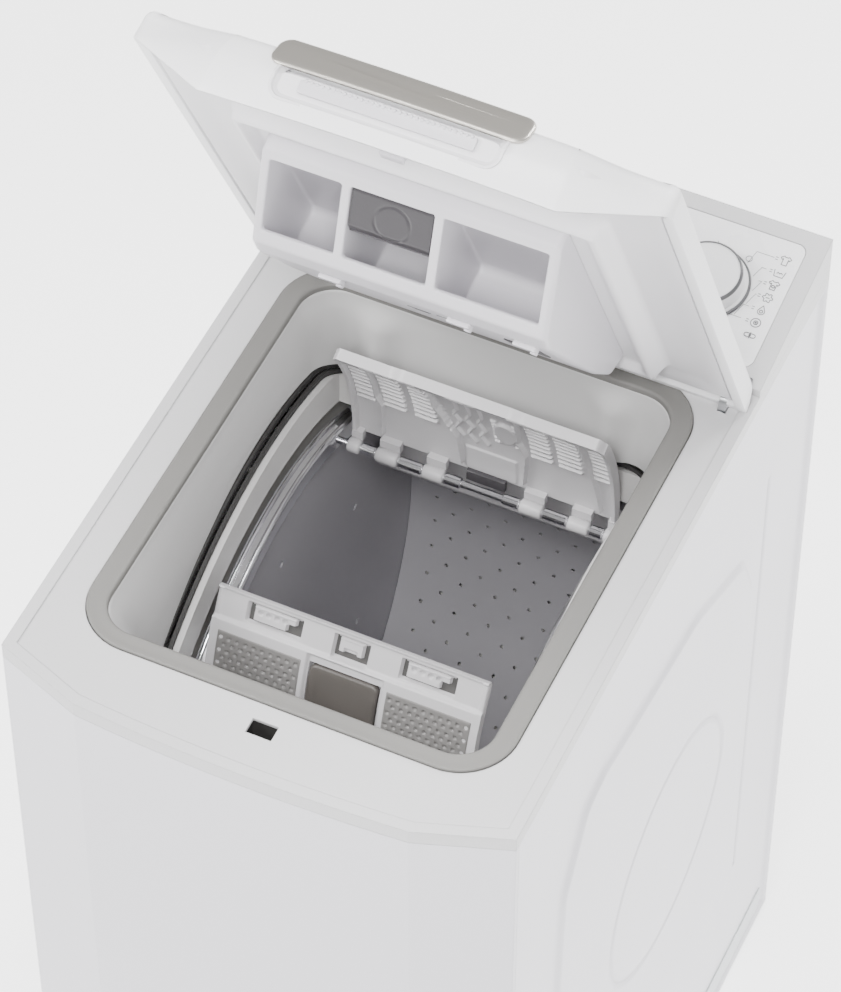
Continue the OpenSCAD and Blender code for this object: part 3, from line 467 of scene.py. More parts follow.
# ---- Lid ----
def lid_outline():
    """The lid's outline in x and s, with its corners rounded, and the way inwards at each point."""
    front = [(x, 455.5 + 6 * (1 - (x / 128) ** 2)) for x in np.linspace(-128, 128, 25)]
    outline = [(-lid_half, -4), (-lid_half, 432)] + front + [(lid_half, 432), (lid_half, -4)]
    radius = [2, 12, 14] + [0] * (len(front) - 2) + [14, 12, 2]
    points = fillet(outline, radius, 7)
    dense = []
    for p, q in zip(points, np.roll(points, -1, 0)):
        parts = max(1, int(np.linalg.norm(q - p) / 9))
        dense += [p + (q - p) * t / parts for t in range(parts)]
    points = np.array(dense)
    way = np.roll(points, -1, 0) - np.roll(points, 1, 0)
    way /= np.linalg.norm(way, axis=1)[:, None]
    return points, np.stack([way[:, 1], -way[:, 0]], 1)


def lid():
    points, inwards = lid_outline()
    x, s = points[:, 0], points[:, 1]
    front = smoothstep((s - 418) / 14)
    low = rim_n + (apron_n - rim_n) * front * np.clip((lid_half - abs(x)) / (lid_half - 130), 0, 1)
    lean = 0.14 + 0.86 * smoothstep((s - 425) / 22)

    def level(inset, n):
        high = np.clip((n - rim_n) / (lid_n - rim_n), 0, 1)
        p = points + inwards * (inset + 16 * high * lean * front + 1.5 * high * (1 - front))[:, None]
        hinge_side = np.interp(n, [rim_n, -1, 2, lid_n], [-1, -4, -4, 10])
        return in_lid(p[:, 0], np.maximum(p[:, 1], hinge_side), n)

    flat = np.zeros(len(x))
    band = 9 * (1 - front) + 1.6 * front
    rings = [level(flat + 18, flat + 11), level(band + 1, low + 9), level(band, low + 1.5),
             level(band - 0.8, low + 0.3),
             level(flat + 1.2, low), level(flat + 0.25, low + 0.35), level(flat, low + 1.5)]
    for t in (0.25, 0.5, 0.75, 1.0):
        rings.append(level(flat, low + (12 - low) * t))
    for a in range(0, 100, 15):
        a = math.radians(min(a, 90))
        rings.append(level(flat + 6 * (1 - math.cos(a)), flat + lid_n - 6 + 6 * math.sin(a)))
    rings.append(level(flat + 14, flat + lid_n))

    def towards_middle(ring, share):
        middle = ring.mean(0)
        return middle + (ring - middle) * share

    rings = [towards_middle(rings[0], k) for k in (0.04, 0.3, 0.6, 0.9)] + rings
    rings += [towards_middle(rings[-1], k) for k in (0.9, 0.6, 0.3, 0.04)]
    shape = Shape()
    shape.loft(rings)
    piece = make("lid_outer", shape, "lid", lid_plastic, ["lid_shell"], sharp=50)

    recess = Shape()
    mouth = rounded_rect(-grip_x, grip_low, grip_x, grip_high, 9, 8, 10)
    recess.loft([in_lid(mouth[:, 0], np.full(len(mouth), d), mouth[:, 1]) for d in (440.0, 480.0)])
    carve(piece, recess, 50)


grip_x = 82
grip_low = -20
grip_high = 9
pocket_low = -1.5


def lid_face(n):
    """How far the lid's front face stands from the hinge at height n: upright, then leaning back."""
    return lid_front - 16 * np.maximum(n - rim_n, 0) / (lid_n - rim_n)


def lid_recess():
    """The finger recess below the handle bar: a shallow dish, and a deep pocket behind its upper part."""
    shape = Shape()
    rings = []
    for grow, depth in ((2.0, 1.2), (0.0, 1.2), (-0.8, 3.5), (-4.0, 5.2), (-4.0, 6.6), (2.0, 6.6)):
        p = rounded_rect(-grip_x - grow, grip_low - grow, grip_x + grow, grip_high + grow, 9 + grow, 8, 10)
        rings.append(in_lid(p[:, 0], np.minimum(lid_face(p[:, 1]) - depth, 461), p[:, 1]))
    shape.ring(rings)
    back = rounded_rect(-grip_x + 1, grip_low + 1, grip_x - 1, pocket_low, 7, 6, 10)
    shape.loft([in_lid(back[:, 0], lid_front - np.full(len(back), d), back[:, 1]) for d in (6.4, 5.0)])
    outer = rounded_rect(-grip_x + 0.5, pocket_low - 1.4, grip_x - 0.5, grip_high + 2, 5, 6, 10)
    inner = rounded_rect(-grip_x + 2.5, pocket_low, grip_x - 2.5, grip_high, 4, 6, 10)
    shape.ring([in_lid(p[:, 0], np.minimum(lid_face(p[:, 1]) - 5.2, d), p[:, 1])
                for p, d in ((outer, 456.2), (outer, 427.0), (inner, 427.0), (inner, 456.2))])
    shape.loft([in_lid(outer[:, 0], np.full(len(outer), d), outer[:, 1]) for d in (426.0, 427.4)])
    make("finger_recess", shape, "lid", liner_plastic, sharp=40)


def handle():
    """Satin bar over the top of the recess, standing proud of the lid's face and its top edge."""
    shape = Shape()
    rings = []
    steps = [(-8.5, 3.4), (-6.0, 3.4), (-3.6, 3.35), (-2.0, 3.2), (-0.9, 2.7), (-0.2, 1.9), (0, 1.0),
             (0, -0.6), (-1.5, -1.0), (-8.5, -1.0)]
    for grow, depth in steps:
        p = rounded_rect(-93 - grow, 2.2 - grow, 93 + grow, 26.8 + grow, max(0.6, 9 + grow), 8, 24)
        bow = 2.4 * (p[:, 0] / 93) ** 2
        rings.append(in_lid(p[:, 0], lid_face(p[:, 1]) - bow + depth, p[:, 1]))
    shape.loft(rings)
    make("handle_plate", shape, "lid", handle_metal, ["handle_bar"], sharp=50)


def latch():
    """Finger flap in the recess, with its serrated edge, and the hook that enters the top frame."""
    shape = Shape()
    plate = rounded_rect(-64, -13, 64, -3.4, 1.6, 4, 12)
    shape.loft([in_lid(plate[:, 0], np.full(len(plate), d), plate[:, 1]) for d in (457.0, 459.4)])
    for x in np.arange(-60, 60.1, 4):
        shape.block((x - 1.1, 456.4, -5.2), (x + 1.1, 460.0, -2.6), in_lid)
    shape.block((-60, 432, -1.6), (60, 454.5, 0.0), in_lid)
    shape.block((-60, 454, -4.6), (60, 458, -2.9), in_lid)
    shape.block((-60, 453, -4.6), (60, 454.6, 0.0), in_lid)
    shape.block((-11, 409, 1.2), (11, 433, 5.4), in_lid)
    shape.block((-9, 407.6, -19), (9, 414.6, 5), in_lid)
    shape.block((-8.6, 408.2, -22.6), (8.6, 416.8, -18.6), in_lid)
    make("latch_flap", shape, "lid_latch", tray_plastic, ["lid_latch"], bevel=0.6)


def lid_liner():
    """Lining inside the lid: a dished sheet, and the raised plug that enters the seal."""
    def half_width(s):
        return np.where(s < 425, lid_half - 10.3, np.interp(s, [425, 452], [lid_half - 14, 134]))

    s = np.linspace(19, 450, 160)
    t = np.linspace(-1, 1, 150)
    ss, tt = np.meshgrid(s, t, indexing="ij")
    xx = tt * half_width(ss)
    edge = np.minimum(half_width(ss) - abs(xx), np.minimum(ss - 19, 450 - ss))
    plug = pad(xx, ss, -138, 138, 48, 362, 8)
    dish = 2.2 * smoothstep(edge / 26)
    n = rim_n + 0.9 + dish - 15.5 * plug
    n = n + 6.5 * pad(xx, ss, -127, 127, 58, 352, 8)
    hook = pad(xx, ss, -15, 15, 400, 424, 1.5)
    n = n + 6 * hook
    n = n + 3.5 * dot(xx, ss, -137, 357, 2.6)
    shape = Shape()
    shape.relief(in_lid(xx, ss, n), in_lid(xx, ss, np.maximum(n + 2.0, 1.5)))
    make("lid_lining", shape, "lid", liner_plastic, ["lid_liner"], sharp=60)


# ---- Dispenser ----
tray_face = ((341, -24), (285, -74))
tray_profile = [(341, -9), (341, -24), (285, -74), (268, -75.5), (200, -62), (120, -44), (80, -31), (66, -9)]
tray_cells = ((-105, -50.5), (-43.5, 19.5), (26.5, 104.5))


def tray_at(u, out):
    """A point at share u down the tray's slanted front, and a distance out from it."""
    (s0, n0), (s1, n1) = tray_face
    long = math.hypot(s1 - s0, n1 - n0)
    return s0 + (s1 - s0) * u - (n1 - n0) / long * out, n0 + (n1 - n0) * u + (s1 - s0) / long * out


def prism(outline, x0, x1, shape, taper=0.0):
    """An outline in s and n drawn out along x."""
    o = np.array(outline, float)
    mid = o.mean(0)
    rings = []
    for x, k in ((x0, taper), (x0 + 3 * (taper > 0), 0), (x1 - 3 * (taper > 0), 0), (x1, taper)):
        p = o + (mid - o) / np.linalg.norm(mid - o, axis=1)[:, None] * k
        rings.append(in_lid(np.full(len(p), float(x)), p[:, 0], p[:, 1]))
    if taper == 0:
        rings = [rings[0], rings[3]]
    shape.loft(rings)


def dispenser():
    shape = Shape()
    prism(fillet(tray_profile, [1, 4, 6, 8, 30, 30, 14, 1], 6), -112, 112, shape, taper=2.5)
    piece = make("tray", shape, "dispenser", tray_plastic, ["dispenser"])
    for x0, x1 in tray_cells:
        cut = Shape()
        top_out, top_in = tray_at(0.09, 9), tray_at(0.10, -3)
        low_out, low_in = tray_at(0.875, 9), tray_at(0.865, -5)
        prism(fillet([top_out, top_in, (320, -17), (206, -17), (214, -54), (280, -68.5), low_in, low_out],
                     [0, 2, 5, 9, 12, 6, 3, 0], 5), x0, x1, cut)
        carve(piece, cut)
    cut = Shape()
    prism(fillet([(186, -6), (186, -52), (120, -38), (84, -26), (74, -6)], [1, 8, 20, 10, 1], 5),
          -107, 107, cut)
    carve(piece, cut)
    soften(piece, 1.1, 4, 0.45)

    under = Shape()

    def on_belly(x, s, h):
        n = np.interp(s, [120, 200, 268], [-44, -62, -75.5])
        return in_lid(x, s, n - h)

    under.block((70, 196, -0.6), (96, 236, 0.9), on_belly, 8)
    make("tray_pad", under, "dispenser", cap_plastic, bevel=0.4)
    marks = Shape()
    for x, s, w in ((-6, 226, 18), (-2, 220, 11), (18, 232, 14), (24, 222, 8)):
        marks.block((x, s, 0.02), (x + w, s + 1.6, 0.35), on_belly, 1)
    for x in (-101, 88):
        marks.block((x, 347, -0.5), (x + 7, 349, 0.4), lambda a, b, c: in_lid(a, b, -8 - c), 1)
    make("tray_marks", marks, "dispenser", print_grey)
    clips = Shape()
    for x in (-64, 34, 84):
        clips.block((x, 252, -0.5), (x + 17, 262, 3.6), on_belly, 3)
        clips.block((x + 12, 246, -0.5), (x + 16, 254, 5.2), on_belly, 3)
    make("tray_clips", clips, "dispenser", tray_plastic, bevel=0.8)


def siphon():
    """Grey cap over the upper part of the middle compartment, with a round thumb mark."""
    shape = Shape()
    u = np.linspace(0.115, 0.60, 60)
    x = np.linspace(-42.6, 18.6, 84)
    xx, uu = np.meshgrid(x, u, indexing="ij")
    ring = abs(np.hypot(xx + 11, (uu - 0.36) * 75) - 13.5)
    h = -2.2 - 0.55 * smoothstep(1.4 - ring) - 0.8 * smoothstep((0.14 - uu) / 0.04)
    down = smoothstep((uu - 0.5) / 0.1) * 4

    def face(h):
        return in_lid(xx, *tray_at(uu, h))

    shape.relief(face(h - down), face(h - down - 2.6))
    make("siphon", shape, "dispenser", cap_plastic, ["siphon_cap"], bevel=0)


# ---- Loading opening ----
def ring_at(x0, y0, x1, y1, r, z):
    p = rounded_rect(x0, y0, x1, y1, r, 12, 30)
    return np.column_stack([p, np.full(len(p), 1.0) * z])


def seal():
    """Soft grey seal: a rounded strip with a raised inner lip."""
    (x0, y0, _), (x1, y1, z1) = seal_low, seal_high
    section = [(0.2, -1.5), (0, -0.4), (0.5, 0.35), (2, 0.6), (5, 0.25), (9, 0.15), (12.5, 0.6), (14.6, 0.75),
               (16, 0.3), (16.6, -1), (16.6, -5), (0.2, -5)]
    rings = []
    for inset, h in section:
        front = inset * 15 / 17
        rear = inset * 18 / 17
        rings.append(ring_at(x0 + inset, y0 + front, x1 - inset, y1 - rear, max(26, 45 - inset),
                             z1 - 0.15 + h))
    shape = Shape()
    shape.ring(rings)
    make("seal_strip", shape, "cabinet", seal_rubber, ["lid_seal"], sharp=60)


def collar():
    """White funnel below the seal, cut along an arc that follows the drum, with two rear columns."""
    plan = rounded_rect(-1, -1, 1, 1, 0.2, 14, 34)
    steps = 26
    rings = []
    outer = []
    levels = [(856.6, 151.6, -229.2, 134.8, 30), (855.6, 150.4, -227.6, 134.2, 30),
              (850, 149.4, -223.6, 133.6, 31), (842, 147.4, -218.8, 132.6, 32), (830, 145, -213.6, 132, 32),
              (812, 142.2, -209.2, 131, 31), (790, 140, -207.4, 130.4, 30),
              (690, 136.4, -206.2, 130, 28)]
    z_of = np.array([l[0] for l in levels])[::-1]

    def at(z, grow):
        v = [np.interp(z, z_of, np.array([l[k] for l in levels])[::-1]) for k in (1, 2, 3, 4)]
        xh, yf, yr, r = v
        p = rounded_rect(-xh - grow, yf - grow, xh + grow, yr + grow, r + grow, 14, 34)
        columns = 9 * (np.exp(-((abs(p[:, 0]) - 96) / 13) ** 2)) * smoothstep((p[:, 1] - 100) / 20)
        p[:, 1] -= columns * smoothstep((856 - z) / 24)
        return p

    probe = at(760, 0)
    bottom = drum_z + np.sqrt(np.maximum(292.4 ** 2 - (probe[:, 1] - drum_y) ** 2, 0))
    for t in np.linspace(0, 1, steps) ** 1.4:
        inner = np.array([at(z, 0)[i] for i, z in enumerate(856.6 + (bottom - 856.6) * t)])
        rings.append(np.column_stack([inner, 856.6 + (bottom - 856.6) * t]))
    back = np.array([at(z, 2.4)[i] for i, z in enumerate(bottom)])
    rings.append(np.column_stack([(back + rings[-1][:, :2]) / 2, bottom - 0.1]))
    outer.append(np.column_stack([back, bottom + 0.8]))
    for t in (0.7, 0.4, 0.15):
        z = 854 + (bottom - 854) * t
        grown = np.array([at(h, 2.4)[i] for i, h in enumerate(z)])
        outer.append(np.column_stack([grown, z]))
    outer.append(np.column_stack([at(853, 8), np.full(len(plan), 853.5)]))
    outer.append(np.column_stack([at(856, 8), np.full(len(plan), 856.6)]))
    shape = Shape()
    shape.ring(rings + outer)
    make("collar_skin", shape, "cabinet", collar_plastic, ["collar"], sharp=60)


def arc_band(shape, x0, x1, r0, r1, a0, a1, steps=60):
    """A strip bent about the drum's axis."""
    rings = []
    for a in np.linspace(math.radians(a0), math.radians(a1), steps):
        c, d = math.cos(a), math.sin(a)
        rings.append([(x, drum_y + r * c, drum_z + r * d)
                      for x, r in ((x0, r0), (x1, r0), (x1, r1), (x0, r1))])
    shape.loft(rings)


def circle_of(radius, count):
    """Points spaced evenly on a circle about the origin."""
    turns = np.linspace(0, 2 * math.pi, count + 1)[:-1]
    return np.array([(radius * math.cos(q), radius * math.sin(q)) for q in turns])


def arc_tube(shape, x, r, a0, a1, thick, steps=70, wide=1.0):
    rings = []
    for a in np.linspace(math.radians(a0), math.radians(a1), steps):
        ring = []
        for k in range(14):
            b = 2 * math.pi * k / 14
            q = r + thick * math.sin(b)
            ring.append((x + wide * thick * math.cos(b), drum_y + q * math.cos(a), drum_z + q * math.sin(a)))
        rings.append(ring)
    shape.loft(rings)


def bellows():
    """Two dark skirts that slide past each other between the collar and the tub's mouth."""
    for name, body, grow, top, bottom in (("skirt_outer", "cabinet", 12, 291.0, 286.2),
                                          ("skirt_inner", "tub_unit", 7.4, 287.4, 283.0)):
        plan = rounded_rect(-129 - grow, -200 - grow, 129 + grow, 128 + grow, 22 + grow, 10, 30)
        inner = rounded_rect(-129 - grow + 2.6, -200 - grow + 2.6, 129 + grow - 2.6, 128 + grow - 2.6,
                             20 + grow, 10, 30)

        def at(p, r):
            return np.column_stack([p, drum_z + np.sqrt(r * r - (p[:, 1] - drum_y) ** 2)])

        shape = Shape()
        folds = [at(plan + (plan / abs(plan).max()) * 0.9 * (k % 2), top + (bottom - top) * k / 4)
                 for k in range(5)]
        shape.ring(folds + [at(inner, bottom), at(inner, top)])
        make(name, shape, body, black_rubber,
             ["collar_bellows"] if body == "cabinet" else (), sharp=50)


def drum():
    """Drum shell of perforated sheet with a rolled steel edge round its opening."""
    shape = Shape()
    radius, thick = 237.6, 1.2
    pitch = 13.6
    a0, a1 = 140.0, 420.0
    columns = 16
    turns = int(2 * math.pi * radius * (a1 - a0) / 360 / pitch)
    xs = np.linspace(-125.6, 125.6, columns + 1)
    arcs = np.radians(np.linspace(a0, a1, turns + 1))

    def at(x, a, r):
        return np.column_stack([x, drum_y + r * np.cos(a), drum_z + r * np.sin(a)])

    for i in range(turns):
        for j in range(columns):
            xa, xb, aa, ab = xs[j], xs[j + 1], arcs[i], arcs[i + 1]
            xm, am = (xa + xb) / 2, (aa + ab) / 2
            rim_x = np.array([xb, xb, xm, xa, xa, xa, xm, xb])
            rim_a = np.array([am, ab, ab, ab, am, aa, aa, aa])
            b = np.arange(8) * math.pi / 4
            hole_x, hole_a = xm + 1.7 * np.cos(b), am + 1.7 / radius * np.sin(b)
            if (i + j) % 2 or j in (0, columns - 1):
                shape.add(at(rim_x, rim_a, radius), [list(range(8))])
                shape.add(at(rim_x, rim_a, radius - thick), [list(range(8))[::-1]])
                continue
            faces = [[k, (k + 1) % 8, 8 + (k + 1) % 8, 8 + k] for k in range(8)]
            top = np.concatenate([at(rim_x, rim_a, radius), at(hole_x, hole_a, radius)])
            low = np.concatenate([at(rim_x, rim_a, radius - thick), at(hole_x, hole_a, radius - thick)])
            wall = [[8 + k, 8 + (k + 1) % 8, 24 + (k + 1) % 8, 24 + k] for k in range(8)]
            shape.add(np.concatenate([top, low]), faces + [[16 + k for k in f[::-1]] for f in faces] + wall)
    make("drum_skin", shape, "drum", drum_steel, ["drum_shell"], sharp=60)
    side = Shape()
    for x in (-120.8, 120.8):
        arc_band(side, x - 4.9, x + 4.9, radius - 1.2, radius, 59.6, 140.4)
    make("drum_cheeks", side, "drum", drum_steel, sharp=40)
    rims = Shape()
    for k in (-1, 1):
        arc_tube(rims, k * 117.4, radius + 0.6, 59.8, 140.2, 2.4)
        arc_tube(rims, k * 125.6, radius + 0.9, 59.8, 140.2, 1.9)
        arc_band(rims, k * 121.5 - 3.5, k * 121.5 + 3.5, radius - 0.2, radius + 1.0, 59.8, 140.2)
        arc_band(rims, k * 116.7 - 0.5, k * 116.7 + 0.5, radius - 15, radius, 60, 140)
    make("drum_rims", rims, "drum", chrome, sharp=40)
    sleeves = Shape()
    for a, b in ((-100, -88), (-68, -48), (-29, -15), (20, 34), (54, 74), (93, 104)):
        y, z = rear_hinge[1], rear_hinge[2]
        circle = circle_of(4.4, 24)
        sleeves.loft([np.column_stack([np.full(24, float(x)), y + circle[:, 0] * k, z + circle[:, 1] * k])
                      for x, k in ((a, 0.8), (a + 0.8, 1), (b - 0.8, 1), (b, 0.8))])
    make("hinge_sleeves", sleeves, "drum", chrome, sharp=40)


def flap_place(a_hinge, sign, hinge, angle):
    """Maps x, distance u from the hinge side along the skin, and depth h below it, to the open flap."""
    def place(x, u, h):
        a = math.radians(a_hinge) + sign * u / 237.5
        r = 237.5 - h
        y, z = turned(drum_y + r * np.cos(a), drum_z + r * np.sin(a), hinge, angle)
        return np.stack([x + 0 * u, y, z], -1)
    return place


def rear_flap():
    place = flap_place(68, 1, rear_hinge, -rear_open)
    x = np.arange(-111, 111.01, 0.75)
    t = np.linspace(0, 1, 186)
    xx, tt = np.meshgrid(x, t, indexing="ij")
    edge = 137.2 + 3.6 * smoothstep((56 - abs(xx + 8)) / 14)
    cut = 10 * smoothstep((abs(xx) - 104) / 7) ** 2
    uu = tt * (edge - cut)
    h = 3.2 + 0 * xx
    h = np.maximum(h, 8.6 * pad(xx, uu, -111, -106.6, -5, 150, 1.6))
    h = np.maximum(h, 8.6 * pad(xx, uu, 106.6, 111, -5, 150, 1.6))
    top = uu > 0
    band = 7.2 * smoothstep((uu - 116) / 1.6) * top
    lip = 8.8 * smoothstep((uu - (edge - cut) + 4.5) / 2)
    h = np.maximum(h, np.maximum(band, lip))
    for points in ([(-86, 8), (-84, 48), (-88, 62), (-87, 117)], [(-19, 8), (-22, 40), (-36, 78), (-41, 117)],
                   [(33, 8), (36, 46), (31, 66), (35, 117)], [(97, 8), (92, 44), (88, 70), (86, 117)]):
        h = np.maximum(h, 3.2 + 4.6 * line(xx, uu, points, 2.4, 1.2))
    for x0, x1 in ((-106, -90), (-83, -64), (-57, -38), (40, 58), (63, 83), (92, 106)):
        for k in range(9):
            u0 = 48 + k * 7.4
            h = np.maximum(h, 3.2 + 2.6 * pad(xx, uu, x0, x1, u0, u0 + 3.0, 1.3))
            h = h - 1.7 * pad(xx, uu, x0, x1, u0 + 3.6, u0 + 6.6, 1.3)
    for points in ([(-18, 112), (-18, 86), (-22, 76), (-17, 66), (-22, 54), (-16, 44)],
                   [(-8, 112), (-8, 82), (-12, 72), (-7, 62), (-12, 50), (-6, 40)],
                   [(2, 112), (2, 84), (-2, 74), (3, 62), (-2, 52), (4, 42)]):
        h = np.maximum(h, 3.2 + 2.4 * line(xx, uu, points, 2.0, 1.0))
    for cx, cu in ((-29, 100), (-27, 88), (-24, 98), (-13, 96), (-3, 92), (8, 98), (12, 86), (-28, 74),
                   (-14, 58),
                   (-3, 56), (8, 60), (12, 72), (-27, 60), (14, 104), (-22, 110)):
        h = h - 2.2 * dot(xx, uu, cx, cu, 1.9)
    oval = smoothstep((1 - np.hypot((xx - 21) / 9.5, (uu - 72) / 17)) * 6 + 0.5)
    h = np.maximum(h, 3.2 + 2.8 * oval)
    for k in range(7):
        h = np.maximum(h, 3.2 + 2.0 * pad(xx, uu, 10, 15, 52 + 6 * k, 54.5 + 6 * k, 1))
        h = np.maximum(h, 3.2 + 2.0 * pad(xx, uu, 27, 31, 52 + 6 * k, 54.5 + 6 * k, 1))
    for k in range(11):
        h = h - 1.8 * dot(xx, uu, -38.5 + k * 1.3, 112 - k * 6, 1.7)
    for x0, x1 in ((-92, -46), (30, 76)):
        h = h - 3.6 * pad(xx, uu, x0, x1, 120, 124.5, 1.2)
    h = h - 4.6 * pad(xx, uu, -21, 3, 121, 128, 1.2)
    h = np.maximum(h, 2.6 + 3.6 * pad(xx, uu, -13, -3, 122, 127, 1.2))
    h = h + 1.4 * pad(xx, uu, -16, 27, 2, 30, 2)
    skin = 0.25 * smoothstep((8 - uu) / 6)
    shape = Shape()
    shape.relief(place(xx, uu, h), place(xx, uu, skin))
    y, z = rear_hinge[1], rear_hinge[2]
    for a, b in ((-111, -101), (-87, -69), (-47, -30), (35, 53), (75, 92), (105, 111)):
        circle = circle_of(5.9, 28)
        shape.loft([np.column_stack([np.full(28, float(v)), y + circle[:, 0] * k, z + circle[:, 1] * k])
                    for v, k in ((a, 0.86), (a + 0.9, 1), (b - 0.9, 1), (b, 0.86))])
        shape.block((a + 0.5, -6, 3.5), (b - 0.5, 4, 9.5), place, 4)
    make("flap_rear", shape, "rear_flap", flap_plastic, ["rear_flap"], sharp=50)
    bar = Shape()
    bar.block((-14, -8, 4.2), (19, 3, 8.4), place, 6)
    make("flap_rear_insert", bar, "rear_flap", cap_plastic, bevel=0.8)


def front_flap():
    place = flap_place(133, -1, front_hinge, front_open)
    full = math.radians(133 - 103.4) * 237.5
    x = np.arange(-109, 109.01, 0.75)
    v = np.arange(0, full + 0.01, 0.7)
    xx, vv = np.meshgrid(x, v, indexing="ij")
    strip = smoothstep((26.5 - vv) / 2.5)
    h = 3.6 * strip
    edge = smoothstep((2.6 - vv) / 1.4)
    h = h - 2.8 * edge
    h = h - 1.3 * pad(xx, vv, 104.5, 108.2, 1, 26, 1.2) - 1.3 * pad(xx, vv, -108.2, -104.5, 1, 26, 1.2)
    for cx in (-62, 62):
        hole = pad(xx, vv, cx - 22, cx + 22, 6, 22, 1.2)
        h = h + 5.0 * hole
        notch = pad(xx, vv, cx + 10, cx + 19, 13, 21, 1)
        tongue = pad(xx, vv, cx - 17, cx + 17, 7.5, 19.5, 1.1) * (1 - notch)
        h = h - 4.6 * tongue
        h = h - 1.2 * pad(xx, vv, cx - 20, cx + 20, 6.0, 8.4, 0.9)
        for k in range(4):
            h = h + 2.8 * dot(xx, vv, cx - 11.5 + 6.6 * k, 12, 1.9) * tongue
    hole = pad(xx, vv, -14, 14, 6, 25, 1.2)
    h = h + 5.0 * hole
    h = h - 4.6 * pad(xx, vv, -9.5, 9.5, 8, 19, 1.1) + 2.4 * pad(xx, vv, -5, 5, 15.5, 20, 1)
    h = h - 1.2 * pad(xx, vv, -12, 12, 6.0, 8.4, 0.9)
    middle = (1 - smoothstep((abs(xx) - 30.5) / 1.6 + 0.5)) * smoothstep((vv - 27) / 2)
    h = h + 2.6 * middle
    rows = np.arange(40, 118, 5.6)
    for k, cv in enumerate(rows):
        for cx in np.arange(38 + 3.4 * (k % 2), 99, 6.8):
            for side in (-1, 1):
                h = h + 1.5 * dot(xx, vv, side * cx, cv, 1.25, 0.9)
    well = pad(xx, vv, -28.4, 28.4, 34.8, 82.6, 1.0)
    h = np.maximum(h, 9.2 * well)
    edges = pad(xx, vv, -109, -105, 2, full, 1) + pad(xx, vv, 105, 109, 2, full, 1)
    under = np.maximum(h + 2.4, 5.6) + 4.0 * edges
    shape = Shape()
    shape.relief(place(xx, full - vv, h), place(xx, full - vv, under))
    y, z = front_hinge[1], front_hinge[2]
    for cx in range(-90, 91, 36):
        circle = circle_of(5.4, 28)
        shape.loft([np.column_stack([np.full(28, float(w)), y + circle[:, 0] * k, z + circle[:, 1] * k])
                    for w, k in ((cx - 10, 0.86), (cx - 9, 1), (cx + 9, 1), (cx + 10, 0.86))])
        shape.block((cx - 9.5, -5, 2.5), (cx + 9.5, 4, 8), place, 4)
    make("flap_front", shape, "front_flap", flap_plastic, ["front_flap"], sharp=50)
    # Dark sheets on the floors of the three cut-outs: painted shade standing in for the darkness seen in the
    # openings.
    shade = Shape()
    for x0, x1, v1 in ((-83, -41, 21.5), (41, 83, 21.5), (-13, 13, 24)):
        shade.block((x0, full - v1, 7.9), (x1, full - 6.6, 8.4), place, 8)
    make("flap_front_shade", shade, "front_flap", slot_dark)
    pads = Shape()
    for side in (-1, 1):
        u, w = np.meshgrid(np.arange(33, 104.01, 0.75), np.arange(33, full - 12, 0.75), indexing="ij")
        corner = pad(u, w, 34.5, 102.5, 34.5, full - 13, 1.6)
        sunk = sum(dot(u, w, cx, cv, 1.35, 0.8) for k, cv in enumerate(np.arange(40, full - 16, 5.6))
                   for cx in np.arange(38 + 3.4 * (k % 2), 100, 6.8))
        depth = 0.9 - 1.5 * corner + 1.7 * sunk
        pads.relief(place(side * u, full - w, depth), place(side * u, full - w, np.maximum(depth + 0.8, 2.2)))
    make("flap_front_pads", pads, "front_flap", pad_grey, sharp=50)

    button = Shape()
    rings = []
    for grow, depth in ((-4, 5.4), (0, 5.4), (0, 1.4), (-0.8, 0.4), (-2.2, 0.0), (-7, -0.2)):
        p = rounded_rect(-27.6 - grow, 35.6 - grow, 27.6 + grow, 81.8 + grow, max(1.5, 6 + grow), 8, 12)
        dip = 0.9 * pad(p[:, 0], p[:, 1], -40, 40, 30, 44, 4)
        rings.append(place(p[:, 0], full - p[:, 1], np.full(len(p), depth) + dip))
    button.loft(rings)
    make("release_button", button, "flap_button", button_plastic, ["flap_button"], sharp=40)



# ---- Console ----
def stroke(shape, points, width, place, height=0.16, closed=False):
    """A thin printed line along points of the console's surface."""
    points = [np.array(p, float) for p in points]
    if closed:
        points.append(points[0])
    for p, q in zip(points, points[1:]):
        way = q - p
        long = np.linalg.norm(way)
        if long < 1e-6:
            continue
        way /= long
        side = np.array([-way[1], way[0]]) * width / 2
        ring = [p - side - way * width / 3, q - side + way * width / 3, q + side + way * width / 3,
                p + side - way * width / 3]
        ring = np.array(ring)
        shape.loft([place(ring[:, 0], ring[:, 1], np.full(4, h)) for h in (-0.3, height)])


def circle_at(x, v, r, a0=0, a1=360, steps=24, wave=0.0, petals=0):
    return [(x + r * (1 + wave * math.cos(petals * math.radians(a))) * math.cos(math.radians(a)),
             v + r * (1 + wave * math.cos(petals * math.radians(a))) * math.sin(math.radians(a)))
            for a in np.linspace(a0, a1, steps)]


